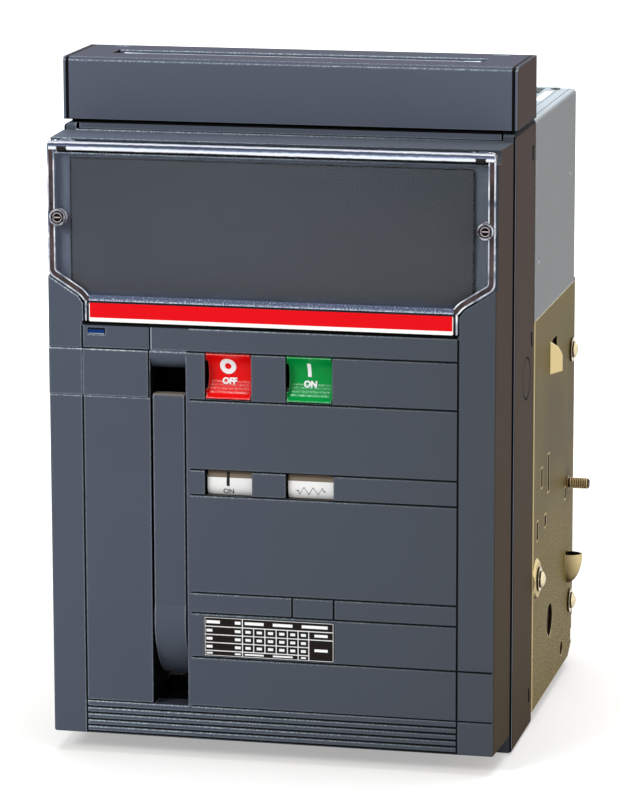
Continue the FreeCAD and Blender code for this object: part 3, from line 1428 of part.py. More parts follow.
def front_frame():
    outer = block(-frame_half_width, frame_half_width, frame_front, frame_rear, 0, frame_top)
    outer = rounded(outer, frame_corner_radius, V(0, 1, 0))
    outer = rounded(outer, 1.6, V(0, 0, 1), lambda c: c.y < frame_front + 1)
    wall = frame_wall
    trough_top = frame_top - frame_rail_height
    trough_half = frame_half_width - frame_rail_width
    cuts = [block(-trough_half, trough_half, frame_front - 1, frame_rear + 1, trough_top, frame_top + 1)]
    cuts.append(block(-frame_half_width + wall, frame_half_width - wall, frame_front + wall,
                      frame_rear + 1, wall, trough_top - wall))
    opening_half = frame_half_width - frame_bezel_width
    opening_low, opening_high = opening_heights(0.0)
    opening = block(-opening_half, opening_half, frame_front - 1, frame_front + wall + 1, opening_low,
                    opening_high)
    gussets = [block(x - gusset_width / 2, x + gusset_width / 2, frame_front, frame_front + wall,
                     z - gusset_height / 2, z + gusset_height / 2) for x, z in cover_screw_places()]
    cuts.append(opening.cut(gussets))
    frame = outer.cut(cuts)
    cuts = []
    for x, z in cover_screw_places():
        cuts.append(round_y(frame_front - 1, frame_front + wall + 1, x, z, cover_screw_radius + seat_gap))
    for side in (-1, 1):
        x0 = side * frame_half_width
        depth = side * ring_mark_line / 2
        ring = round_x(min(x0 - depth, x0 + depth), max(x0 - depth, x0 + depth), ring_mark_y, ring_mark_z,
                       ring_mark_radius)
        core = round_x(-200, 200, ring_mark_y, ring_mark_z, ring_mark_radius - ring_mark_line)
        cuts.append(ring.cut(core))
        for z in clip_slot_heights:
            y = frame_rear - clip_slot_inset
            cuts.append(block(min(x0 - side * 5, x0 + side), max(x0 - side * 5, x0 + side),
                              y - clip_slot_width / 2, y + clip_slot_width / 2,
                              z - clip_slot_height / 2, z + clip_slot_height / 2))
    save("front_frame", frame.cut(cuts))


def foot_rails():
    rail = block(rail_inner_x, rail_outer_x, rail_y[0], rail_y[1], 0, side_plate_bottom)
    rail = rounded(rail, 4.0, V(0, 0, 1))
    cuts = [round_z(-1, side_plate_bottom + 1, base_bolt_x, side * base_bolt_y, base_bolt_radius)
            for side in (-1, 1)]
    for y in foot_screw_y:
        cuts.append(round_z(2.0, side_plate_bottom + 1, foot_screw_x, y, foot_screw_radius + running_gap))
    save_group("foot_rails", both_sides(rail.cut(cuts)))


def foot_screws():
    screws = []
    seat = side_plate_bottom + plate_thickness_side
    for y in foot_screw_y:
        shank = round_z(2.5, seat, foot_screw_x, y, foot_screw_radius)
        head = profile_z(hexagon(foot_screw_x, y, foot_screw_head_radius), seat,
                         seat + foot_screw_head_height)
        screws += both_sides(shank.fuse(head))
    save_group("foot_screws", screws)


# Terminal box


def terminal_box():
    half = box_half_width - box_cap
    rear = frame_rear
    outline = [(box_front, box_bottom), (rear, box_bottom), (rear, box_top - box_edge),
               (rear - box_edge, box_top), (box_front + box_edge, box_top),
               (box_front, box_top - box_edge)]
    shell = profile_x(outline, -half, half)
    hollow = block(-half + 1.5, half - 1.5, box_front + box_wall, rear - box_wall, box_bottom + box_wall,
                   box_top - box_wall)
    slot = block(-box_slot_half_length, box_slot_half_length, box_slot_y[0], box_slot_y[1],
                 box_top - box_wall - 1, box_top + 1)
    feet = []
    for side in (-1, 1):
        outer = side * (half - 1)
        inner = outer - side * box_foot_width
        feet.append(block(min(inner, outer), max(inner, outer), box_front + 8, rear - 8, frame_top,
                          box_bottom + 0.5))
    # Skirt that closes the gap above the frame, with a shadow groove under the box
    skirt_half = frame_half_width - frame_rail_width - box_skirt_end_gap
    skirt_low = frame_top - frame_rail_height + body_gap
    face = box_front + box_skirt_set_back
    back = face + box_skirt_wall
    neck = face + box_skirt_wall / 2
    groove = box_bottom - box_skirt_groove
    skirt = profile_x([(face, skirt_low), (back, skirt_low), (back, box_bottom + 0.5),
                       (neck, box_bottom + 0.5), (neck, groove), (face, groove)], -skirt_half, skirt_half)
    # Shallow notches at the rear corners of the top
    notches = [block(min(s * (half - 26), s * (half - 14)), max(s * (half - 26), s * (half - 14)),
                     rear - 9, rear - 5, box_top - 1.0, box_top + 1) for s in (-1, 1)]
    save("terminal_box", shell.cut([hollow, slot] + notches).fuse(feet + [skirt]))


def terminal_box_cap():
    outline = [(box_front, box_bottom), (frame_rear, box_bottom), (frame_rear, box_top - box_edge),
               (frame_rear - box_edge, box_top), (box_front + box_edge, box_top),
               (box_front, box_top - box_edge)]
    cap = profile_x(outline, box_half_width - box_cap, box_half_width)
    return rounded(cap, 1.0, V(0, 0, 1), lambda c: c.x > box_half_width - 0.1)


def terminal_strip():
    y0 = box_slot_y[0] + 2
    y1 = box_slot_y[1] - 2
    z0 = box_bottom + box_wall
    top = box_top - box_wall - 2.0
    half = box_slot_half_length - 4
    count = int(2 * half / strip_block_pitch)
    rail = block(-half, half, y0, y1, z0, top)
    cuts = []
    start = -strip_block_pitch * (count - 1) / 2
    for i in range(count):
        x = start + i * strip_block_pitch
        cuts.append(block(x - 4, x + 4, y0 + 2.5, y1 - 2.5, top - 3, top + 1))
    save("terminal_strip", rail.cut(cuts))


os.makedirs("parts", exist_ok=True)
front_cover()
cover_screws()
release_blank_panel()
lock_pad()
rating_plate()
release_shield()
shield_pins()
save("shield_screw_left", shield_screw(-1))
save("shield_screw_right", shield_screw(1))
band_strip()
save("off_button", push_button(off_x))
save("on_button", push_button(on_x))
reset_button()
save("position_indicator", flag(position_window))
save("spring_indicator", flag(spring_window))
charging_lever()
lever_pawl()
ratchet_wheel()
charging_shaft()
charging_cam()
right_plate = mechanism_plate()
save("mechanism_plate_right", right_plate)
save("mechanism_plate_left", both_sides(right_plate)[1])
mechanism_rods()
save("trip_shaft", latch_shaft(trip_shaft_z(), off_x, -1))
save("close_shaft", latch_shaft(close_shaft_z(), on_x, 1))
spring_carriage()
closing_springs()
spring_anchor()
auxiliary_switch()
main_shaft()
shaft_bearings()
contact_pins()
pole_base()
for number, place in enumerate(pole_places, 1):
    save(f"connecting_rod_{number}", connecting_rod(place))
    save(f"moving_contact_{number}", moving_contact(place))
    save(f"upper_terminal_{number}", upper_terminal(place))
    save(f"lower_terminal_{number}", lower_terminal(place))
    save_group(f"arc_chute_{number}", arc_chute(place))
upper_housing()
right_side = side_plate()
stud_hole = round_x(side_plate_inner - 1, housing_half_width + 1, stud_y, stud_z,
                    stud_shoulder_radius + running_gap)
save("side_plate_right", right_side.cut(stud_hole))
save("side_plate_left", both_sides(right_side)[1])
side_stud()
side_screws()
front_frame()
foot_rails()
foot_screws()
terminal_box()
right_cap = terminal_box_cap()
save("terminal_box_cap_right", right_cap)
save("terminal_box_cap_left", both_sides(right_cap)[1])
terminal_strip()
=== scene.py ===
import bpy
import json
import math
from mathutils import Matrix, Vector


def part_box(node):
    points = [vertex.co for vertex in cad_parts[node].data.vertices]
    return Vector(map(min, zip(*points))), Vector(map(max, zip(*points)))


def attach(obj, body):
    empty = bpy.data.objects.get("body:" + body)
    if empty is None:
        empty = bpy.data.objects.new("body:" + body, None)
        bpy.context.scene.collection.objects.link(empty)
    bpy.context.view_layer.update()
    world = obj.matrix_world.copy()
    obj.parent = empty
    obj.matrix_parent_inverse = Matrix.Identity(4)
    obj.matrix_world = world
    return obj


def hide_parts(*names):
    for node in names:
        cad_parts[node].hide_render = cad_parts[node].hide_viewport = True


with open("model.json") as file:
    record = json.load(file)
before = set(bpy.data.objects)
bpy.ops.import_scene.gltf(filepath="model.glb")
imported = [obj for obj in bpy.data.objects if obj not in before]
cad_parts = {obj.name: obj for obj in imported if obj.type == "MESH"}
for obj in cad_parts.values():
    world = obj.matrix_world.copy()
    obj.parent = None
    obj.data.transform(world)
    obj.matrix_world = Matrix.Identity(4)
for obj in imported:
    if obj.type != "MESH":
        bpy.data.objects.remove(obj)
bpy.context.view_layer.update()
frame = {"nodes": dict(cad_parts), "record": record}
scene = bpy.context.scene
scene.view_settings.view_transform = "Standard"
mm = 0.001
sides = (("Left", -1), ("Right", 1))

# Camera, at the photograph's place

view = dict(place=(0.59664, -2.70096, 0.76637), yaw=12.85, pitch=11.61, roll=-0.15, lens=186.7)


def makeCamera():
    data = bpy.data.cameras.new("viewCamera")
    data.lens = view["lens"]
    data.sensor_width = 36.0
    data.clip_start = 0.1
    camera = bpy.data.objects.new("viewCamera", data)
    scene.collection.objects.link(camera)
    turn = Matrix.Rotation(math.radians(view["yaw"]), 4, "Z")
    tilt = Matrix.Rotation(math.radians(90 - view["pitch"]), 4, "X")
    roll = Matrix.Rotation(math.radians(view["roll"]), 4, "Z")
    camera.matrix_world = Matrix.Translation(view["place"]) @ turn @ tilt @ roll
    scene.camera = camera


# Soft lights, a pale floor and a pale surround

lamps = {
    "keyLamp": dict(place=(-2.2, -3.6, 3.0), size=1.8, power=118.0, colour=(1.0, 0.99, 0.97)),
    "topLamp": dict(place=(0.2, 0.4, 3.2), size=2.4, power=85.0, colour=(1.0, 1.0, 1.0)),
    "sideLamp": dict(place=(3.4, -1.2, 0.9), size=1.6, power=34.0, colour=(1.0, 0.86, 0.7)),
}
surround = dict(
    aim=(0, -0.05, 0.22), fill=0.55, floorSize=24.0, floorLevel=-0.0004, floorRough=0.9, floorGloss=0.1,
    floorColour=(0.62, 0.62, 0.62, 1.0), glow=(0.38, 1.0), glowReach=(0.35, 1.6), white=(1.0, 1.0, 1.0, 1.0))


def makeLights():
    for name, lamp in lamps.items():
        data = bpy.data.lights.new(name, "AREA")
        data.shape = "DISK"
        data.size = lamp["size"]
        data.energy = lamp["power"]
        data.color = lamp["colour"]
        light = bpy.data.objects.new(name, data)
        scene.collection.objects.link(light)
        light.location = lamp["place"]
        away = Vector(lamp["place"]) - Vector(surround["aim"])
        light.rotation_euler = away.to_track_quat("Z", "Y").to_euler()
    scene.world = bpy.data.worlds.new("paleRoom")
    openTree(scene.world)
    ray = put("LightPath").outputs
    seen = most(ray["Is Camera Ray"], ray["Is Glossy Ray"], ray["Is Transmission Ray"])
    feed(tree.nodes["Background"].inputs, {"Strength": ramp(seen, 0, 1, surround["fill"], 1.0),
                                           "Color": surround["white"]})


def makeFloor():
    clearSelection()
    bpy.ops.mesh.primitive_plane_add(size=surround["floorSize"], location=(0, 0, surround["floorLevel"]))
    floor = nameIt("paleFloor")
    mat, paint = startFinish("floorPaint")
    # Seen by the camera the floor glows a little, and far away fully, so the ground stays white
    away = put("VectorMath", {0: objectPlace()}, operation="LENGTH").outputs["Value"]
    glow = ramp(away, *surround["glowReach"], *surround["glow"])
    feed(paint, {"Base Color": surround["floorColour"], "Roughness": surround["floorRough"],
                 "Specular IOR Level": surround["floorGloss"], "Emission Color": surround["white"],
                 "Emission Strength": times(glow, put("LightPath").outputs["Is Camera Ray"])})
    floor.data.materials.append(mat)


# Nodes for the finishes: they go into the tree that was opened last


def openTree(holder):
    global tree
    holder.use_nodes = True
    tree = holder.node_tree


def feed(sockets, values):
    for key, value in values.items():
        if isinstance(value, bpy.types.NodeSocket):
            tree.links.new(value, sockets[key])
        else:
            sockets[key].default_value = value


def put(kind, inputs=None, **settings):
    made = tree.nodes.new("ShaderNode" + kind)
    for key, value in settings.items():
        setattr(made, key, value)
    feed(made.inputs, inputs or {})
    return made


def chain(operation, first, *others):
    for other in others or (0.0,):
        first = put("Math", {0: first, 1: other}, operation=operation).outputs[0]
    return first


def times(*values):
    return chain("MULTIPLY", *values)


def plus(*values):
    return chain("ADD", *values)


def minus(first, second):
    return chain("SUBTRACT", first, second)


def most(*values):
    return chain("MAXIMUM", *values)


def absolute(value):
    return chain("ABSOLUTE", value)


def above(value, low):
    return chain("GREATER_THAN", value, low)


def below(value, high):
    return chain("LESS_THAN", value, high)


def between(value, low, high):
    return times(above(value, low), below(value, high))


def ramp(value, fromLow, fromHigh, low=0.0, high=1.0):
    return put("MapRange", {"Value": value, "From Min": fromLow, "From Max": fromHigh, "To Min": low,
                            "To Max": high}).outputs["Result"]


def axes(vector):
    return put("SeparateXYZ", {0: vector}).outputs


def objectPlace():
    return put("TexCoord").outputs["Object"]


def here():
    # The place on the piece, axis by axis
    return axes(objectPlace())


def facing(kind="Normal"):
    return axes(put("NewGeometry").outputs[kind])


def noise(scale, detail=2.0, rough=0.5, place=None):
    return put("TexNoise", {"Vector": place or objectPlace(), "Scale": scale, "Detail": detail,
                            "Roughness": rough}).outputs["Fac"]


def nearEdges(radius, samples):
    # How well the rounded normal meets the plain one, 1 away from edges, and the rounded normal
    rounded = put("Bevel", {"Radius": radius}, samples=samples).outputs["Normal"]
    plain = put("NewGeometry").outputs["Normal"]
    return put("VectorMath", {0: rounded, 1: plain}, operation="DOT_PRODUCT").outputs["Value"], rounded


def reachFrom(first, second, firstPlace, secondPlace):
    across, along = minus(first, firstPlace), minus(second, secondPlace)
    return chain("SQRT", plus(times(across, across), times(along, along)))


def blendTwo(factor, first, second):
    return put("Mix", {0: factor, 6: first, 7: second}, data_type="RGBA").outputs[2]


def startFinish(name):
    mat = bpy.data.materials.new(name)
    openTree(mat)
    return mat, tree.nodes["Principled BSDF"].inputs


def paintOver(factor, colour):
    # Another colour over the one that the finish has so far
    socket = tree.nodes["Principled BSDF"].inputs["Base Color"]
    tree.links.new(blendTwo(factor, socket.links[0].from_socket, colour), socket)


def srgb(red, green, blue):
    return tuple((c / 255 / 12.92) if c < 11 else ((c / 255 + 0.055) / 1.055) ** 2.4
                 for c in (red, green, blue)) + (1.0,)


def shade(colour, factor):
    return tuple(min(1.0, c * factor) for c in colour[:3]) + (1.0,)


# Finishes; their places are in metres

mottling = dict(
    cloudDetail=5.0, cloudRough=0.6, cloudShare=0.6, grainShare=0.4, spread=(0.3, 0.7), roughSwing=0.07,
    bumpDepth=0.0001)
# Pale edge marks, partly wear and partly painted highlight: stronger on edges that face up, with brighter painted
# glints
edgeWearAndHighlight = dict(
    reach=1.8, specks=800.0, meet=(0.99, 0.93), rise=(-0.1, 0.35, 0.4, 1.0), broken=(0.38, 0.6, 0.5, 1.0),
    spark=(0.52, 0.6), sparkRise=(0.12, 0.3), sparkLight=1.5)


def mottledFinish(name, colour, rough=0.45, metal=0.0, cloud=18.0, swing=0.12, grain=900.0, relief=0.12,
                  edge=0.0006, wearAndHighlight=None, wearAndHighlightAmount=0.8, tint=None, gloss=0.5):
    # Cloudy colour, fine grain in the relief, softened edges, and pale marks along them that are partly wear and
    # partly painted highlight
    mat, paint = startFinish(name)
    grains = noise(grain)
    spread = plus(ramp(noise(cloud, mottling["cloudDetail"], mottling["cloudRough"]), *mottling["spread"], 0.0,
                       mottling["cloudShare"]), ramp(grains, *mottling["spread"], 0.0, mottling["grainShare"]))
    soft = put("Bevel", {"Radius": edge}, samples=4).outputs["Normal"]
    bump = put("Bump", {"Height": grains, "Strength": relief, "Distance": mottling["bumpDepth"], "Normal": soft})
    swingRough = mottling["roughSwing"]
    feed(paint, {"Base Color": blendTwo(spread, shade(colour, 1 - swing), shade(tint or colour, 1 + swing)),
                 "Roughness": ramp(grains, 0, 1, rough - swingRough, rough + swingRough),
                 "Normal": bump.outputs["Normal"], "Metallic": metal, "Specular IOR Level": gloss})
    # Partly wear, partly painted highlight along the edges, stronger where the rounded edge faces up; brighter
    # painted glints on top
    if wearAndHighlight:
        meet, rounded = nearEdges(edge * edgeWearAndHighlight["reach"], 6)
        rise = axes(rounded)["Z"]
        specks = noise(edgeWearAndHighlight["specks"], 1.0)
        wornAndLit = times(ramp(meet, *edgeWearAndHighlight["meet"], 0.0, wearAndHighlightAmount), ramp(rise, *edgeWearAndHighlight["rise"]),
                     ramp(specks, *edgeWearAndHighlight["broken"]))
        paintOver(wornAndLit, wearAndHighlight)
        paintedGlints = times(ramp(specks, *edgeWearAndHighlight["spark"]), ramp(rise, *edgeWearAndHighlight["sparkRise"]), wornAndLit)
        paintOver(paintedGlints, shade(wearAndHighlight, edgeWearAndHighlight["sparkLight"]))
    return mat


clear = dict(
    colour=(0.97, 0.98, 1.0, 1.0), through=(0.97, 0.97, 0.97, 1.0), index=1.12, gloss=0.2, rough=(0.0, 0.02))


def clearFinish(name):
    # Clear moulding: lamps pass through it, the camera sees it bend the light a little
    mat, paint = startFinish(name)
    feed(paint, {"Base Color": clear["colour"], "Transmission Weight": 1.0, "IOR": clear["index"],
                 "Specular IOR Level": clear["gloss"], "Roughness": ramp(noise(60.0, 3.0), 0, 1, *clear["rough"])})
    empty = put("BsdfTransparent", {"Color": clear["through"]}).outputs["BSDF"]
    mix = put("MixShader", {0: put("LightPath").outputs["Is Shadow Ray"],
                            1: tree.nodes["Principled BSDF"].outputs["BSDF"], 2: empty})
    feed(tree.nodes["Material Output"].inputs, {"Surface": mix.outputs["Shader"]})
    return mat


# The mouldings' paints, among them painted light and shade: a darker, greyer one for the front's right, warm ones
# for the flanks, a darker top for the terminal box; the pale one is for edge wear and painted highlights
coverPaint = dict(
    blue=srgb(76, 83, 97), right=srgb(68, 74, 82), box=srgb(84, 91, 106), boxTopShading=srgb(54, 56, 70),
    side=srgb(59, 46, 41), sideFoot=srgb(56, 43, 20), line=srgb(196, 214, 232), cream=srgb(232, 214, 164))
# The dark of painted shade in gaps, grooves, holes and slots
paintedShade = srgb(3, 3, 4)
# How the painted light across the front and on the flanks, and the painted shade in gaps, spread
frontAndFlankShading = dict(across=(-0.13, 0.16), flank=(0.6, 0.8), height=(0.1, 0.36), amount=0.95, gapHalf=0.1425)


def paintedLightFromLeft(mat):
    # Painted light: the front is a little bluer and lighter at its left, darker and greyer towards its right
    openTree(mat)
    paintOver(ramp(here()["X"], *frontAndFlankShading["across"]), coverPaint["right"])


def paintedFlankLightAndGapShade(mat):
    # Painted light: the flanks of the dark mouldings are a warmer grey than their fronts, as if lit warmly from the
    # side, and more olive towards the foot; painted shade makes the flanks of gaps and slots dark
    openTree(mat)
    spot = here()
    flank = ramp(absolute(facing("True Normal")["X"]), *frontAndFlankShading["flank"])
    side = blendTwo(ramp(spot["Z"], *frontAndFlankShading["height"]), coverPaint["sideFoot"], coverPaint["side"])
    paintOver(times(flank, frontAndFlankShading["amount"]), side)
    paintOver(times(flank, below(absolute(spot["X"]), frontAndFlankShading["gapHalf"])), paintedShade)


hollowShade = dict(
    half=0.1435, top=0.2812, face=-0.1996, slot=(-0.0785, -0.0545), lip=(0.2535, 0.2682), roll=(-0.1985, -0.1915),
    under=(0.2819, 0.2846), underWidth=(-0.1226, 0.1206), seam=(-0.0787, -0.0776), seamLight=(-0.0776, -0.0770),
    seamHeight=(0.2672, 0.2820), seamShare=0.5, ledge=(0.6, 0.8, 0.95, 0.45), shadeReach=0.0009,
    shadeMeet=(0.965, 0.9), shadeFoot=0.0354)


def paintedHollowShade(mat):
    # Painted shade: grooves, windows, joints and the lever's slot go dark behind the cover's face, and so do their
    # edges, the band under the strip and the slot's rolled lip; a dark seam line marks the reset plate's border
    openTree(mat)
    spot = here()
    inside = times(below(absolute(spot["X"]), hollowShade["half"]), below(spot["Z"], hollowShade["top"]))
    lip = times(between(spot["X"], *hollowShade["slot"]), between(spot["Z"], *hollowShade["lip"]))
    beside = minus(1.0, lip)
    ledge = ramp(facing("True Normal")["Z"], *hollowShade["ledge"])
    deep = times(inside, above(spot["Y"], hollowShade["face"]), beside, ledge)
    under = times(between(spot["Z"], *hollowShade["under"]), between(spot["X"], *hollowShade["underWidth"]))
    level = between(spot["Z"], *hollowShade["seamHeight"])
    seam = times(level, between(spot["X"], *hollowShade["seam"]))
    # A painted highlight line beside the seam
    paintOver(times(level, between(spot["X"], *hollowShade["seamLight"]), hollowShade["seamShare"]), coverPaint["line"])
    meet = nearEdges(hollowShade["shadeReach"], 4)[0]
    edge = times(ramp(meet, *hollowShade["shadeMeet"]), inside, above(spot["Z"], hollowShade["shadeFoot"]), beside)
    rolled = times(lip, ramp(spot["Y"], *hollowShade["roll"]))
    paintOver(most(deep, under, seam, edge, rolled), paintedShade)


rearLight = dict(depth=(-0.1522, -0.1499), foot=0.3984, broken=(0.35, 0.55, 0.35, 1.0))


def rearEdge(mat):
    # Light on the cover's upper rear edge, under the terminal box
    openTree(mat)
    spot = here()
    edge = times(between(spot["Y"], *rearLight["depth"]), above(spot["Z"], rearLight["foot"]))
    paintOver(times(edge, ramp(noise(160.0), *rearLight["broken"])), srgb(214, 226, 242))


frameShade = dict(
    sunk=(0.1425, 0.1477), sunkFront=-0.1475, sunkTop=0.4034, front=-0.1478, gap=(0.1462, 0.1475),
    gapLight=(0.1475, 0.149), gapHighlight=srgb(150, 166, 190), ringPlace=(-0.104, 0.2395), ring=(0.0131, 0.0149),
    flank=0.14)


def paintedFrameShade(mat):
    # Painted shade: catch slots, the gap round the cover and the ring on the sides are dark; a painted highlight
    # line runs beside the gap
    openTree(mat)
    spot = here()
    across = absolute(spot["X"])
    sunk = times(between(across, *frameShade["sunk"]), above(spot["Y"], frameShade["sunkFront"]),
                 below(spot["Z"], frameShade["sunkTop"]))
    paintOver(sunk, paintedShade)
    front = below(spot["Y"], frameShade["front"])
    paintOver(times(front, between(across, *frameShade["gap"])), paintedShade)
    paintOver(times(front, between(across, *frameShade["gapLight"])), frameShade["gapHighlight"])
    ring = between(reachFrom(spot["Y"], spot["Z"], *frameShade["ringPlace"]), *frameShade["ring"])
    paintOver(times(ring, above(across, frameShade["flank"]), 0.75), paintedShade)


def zoneFinish(mat, axis, low, high, colour, amount=1.0):
    # One more colour between two places along an axis, on both sides of the middle
    openTree(mat)
    place = here()[axis]
    if axis == "X":
        place = absolute(place)
    paintOver(times(between(place, low, high), amount), colour)


def paintedTopShading(mat, colour, amount=1.0):
    # Painted light and shade: another colour on faces that look up
    openTree(mat)
    paintOver(ramp(facing()["Z"], 0.5, 0.85, 0.0, amount), colour)


gleamBands = ((0.0, (64, 72, 92)), (0.1, (236, 242, 252)), (0.34, (232, 240, 252)), (0.46, (120, 134, 166)),
              (0.6, (66, 72, 92)), (0.74, (74, 82, 104)), (0.86, (240, 244, 252)), (1.0, (150, 162, 184)))
gleamWave = dict(
    drawn=(9.0, 1.0, 700.0), streak=(0.2, 0.8, -0.09, 0.09), ripple=(0.3, 0.7, -0.03, 0.03), under=0.1,
    rough=(0.12, 0.3))


def gleamFinish(name):
    # Light caught along the shield's thick upper edge: long streaks, pale, dark and pale again
    mat, paint = startFinish(name)
    drawn = put("Mapping", {"Vector": objectPlace(), "Scale": gleamWave["drawn"]}).outputs["Vector"]
    streak = noise(1.0, 3.0, 0.6, drawn)
    height = plus(ramp(here()["Z"], (gleam["low"] - gleamWave["under"]) * mm, gleam["high"] * mm),
                  ramp(streak, *gleamWave["streak"]), ramp(noise(240.0), *gleamWave["ripple"]))
    colours = put("ValToRGB", {"Fac": height})
    stops = colours.color_ramp.elements
    stops[0].color, stops[1].color = srgb(*gleamBands[0][1]), srgb(*gleamBands[-1][1])
    for position, colour in gleamBands[1:-1]:
        stops.new(position).color = srgb(*colour)
    feed(paint, {"Base Color": colours.outputs["Color"], "Roughness": ramp(streak, 0, 1, *gleamWave["rough"]),
                 "Specular IOR Level": 0.2})
    return mat


rimHaze = dict(
    half=0.1180, top=0.3028, thin=(0.2994, 0.2978, -0.1, 0.2), dark=srgb(78, 88, 114), pale=srgb(196, 208, 228),
    rough=(0.15, 0.3))


def streakedFinish(name, low, high, scale=70.0):
    # Broken painted light along a rim; over the strip it turns to a painted pale haze of reflection
    mat, paint = startFinish(name)
    streak = noise(scale, 4.0, 0.65)
    feed(paint, {"Base Color": blendTwo(ramp(streak, 0.38, 0.62), low, high),
                 "Roughness": ramp(streak, 0, 1, *rimHaze["rough"]), "Specular IOR Level": 0.2})
    spot = here()
    foot = times(below(absolute(spot["X"]), rimHaze["half"]), below(spot["Z"], rimHaze["top"]))
    specks = plus(noise(850.0), ramp(spot["Z"], *rimHaze["thin"]))
    paintOver(foot, blendTwo(ramp(specks, 0.45, 0.75), rimHaze["dark"], rimHaze["pale"]))
    return mat


panelShading = dict(
    fade=(0.378, 0.300), foot=(0.3050, 0.2985), haze=(0.3, 0.6, 0.3, 1.0), half=0.1294, top=0.3880,
    dots=(0.42, 0.5))


def panelFinish(name):
    # The blank panel: flat blue-grey, with a dotted dark line round it, painted light that makes it lighter towards
    # its foot, and a painted bluish reflection haze at its foot
    mat = mottledFinish(name, srgb(49, 53, 58), rough=0.6, swing=0.03, relief=0.03, gloss=0.06)
    spot = here()
    # Painted light: lighter towards the foot, against the shade that falls there
    paintOver(ramp(spot["Z"], *panelShading["fade"]), srgb(67, 71, 76))
    # Painted reflection: a bluish haze at the foot
    foot = times(ramp(spot["Z"], *panelShading["foot"]), ramp(noise(26.0, 4.0), *panelShading["haze"]))
    paintOver(foot, srgb(76, 88, 116))
    border = most(above(absolute(spot["X"]), panelShading["half"]), above(spot["Z"], panelShading["top"]))
    paintOver(times(border, ramp(noise(950.0, 1.0), *panelShading["dots"])), srgb(8, 8, 10))
    return mat


screwTone = dict(line=(0.0026, 0.0031), lineShare=0.7, head=(0.0031, 0.0060))


def screwFinish(name):
    # The quarter-turn screws: black, with a painted highlight ring on the head and dark brown outside it
    mat = mottledFinish(name, srgb(14, 11, 12), rough=0.4, swing=0.2, gloss=0.05)
    spot = here()
    out = reachFrom(absolute(spot["X"]), spot["Z"], cup["x"] * mm, cup["z"] * mm)
    # A painted highlight ring on the head
    paintOver(times(between(out, *screwTone["line"]), screwTone["lineShare"]), srgb(206, 200, 206))
    paintOver(between(out, *screwTone["head"]), srgb(52, 36, 36))
    return mat


def bandedDrum(name):
    # The drum's face: white, with a brown band above it, and the same again half a turn of its window on
    mat = mottledFinish(name, srgb(236, 237, 238), rough=0.4, swing=0.02)
    spot = here()
    rise = minus(spot["Z"], drumMarks["axisZ"] * mm)
    angle = times(chain("ARCTAN2", rise, minus(drumMarks["axisY"] * mm, spot["Y"])), 180 / math.pi)
    part = chain("FRACT", chain("DIVIDE", minus(angle, drumMarks["bandStart"]), drumMarks["turn"]))
    paintOver(above(part, drumMarks["white"] / drumMarks["turn"]), srgb(112, 98, 80))
    return mat


def paintedLightDome(name):
    # Screw heads and washers: painted light and shade, bright where they look up and out, brown towards their rims
    mat = mottledFinish(name, srgb(226, 214, 176), rough=0.24, metal=0.5, cloud=60.0, gloss=0.3)
    normal = facing()
    facingLight = plus(absolute(normal["X"]), times(normal["Z"], 0.3))
    paintOver(1.0, blendTwo(ramp(facingLight, 0.38, 0.74), srgb(50, 35, 20), srgb(238, 226, 190)))
    return mat


plate = dict(
    dark=srgb(24, 17, 9), speck=srgb(206, 186, 126), middleTone=srgb(66, 54, 38), shade=srgb(44, 32, 18),
    low=srgb(78, 60, 30), middleFoot=(0.112, 0.165), middleTop=(0.262, 0.205), edge=(-0.0770, -0.0757),
    raised=0.1488, depth=(0.1, 0.1484), sunk=0.1478, length=(-0.0745, 0.0815), height=(0.012, 0.2685),
    speckFade=(0.2, 0.03, 0.02, 0.42), studShade=(0.017, 0.006, 0.0, 0.6), lit=(0.2, 0.72), edgeFace=0.1472,
    cupFace=0.1487, cupPart=0.88, cup={"Y": (0.061, 0.007), "X": (0.1486, 0.0109), "Z": (0.084, 0.021)})


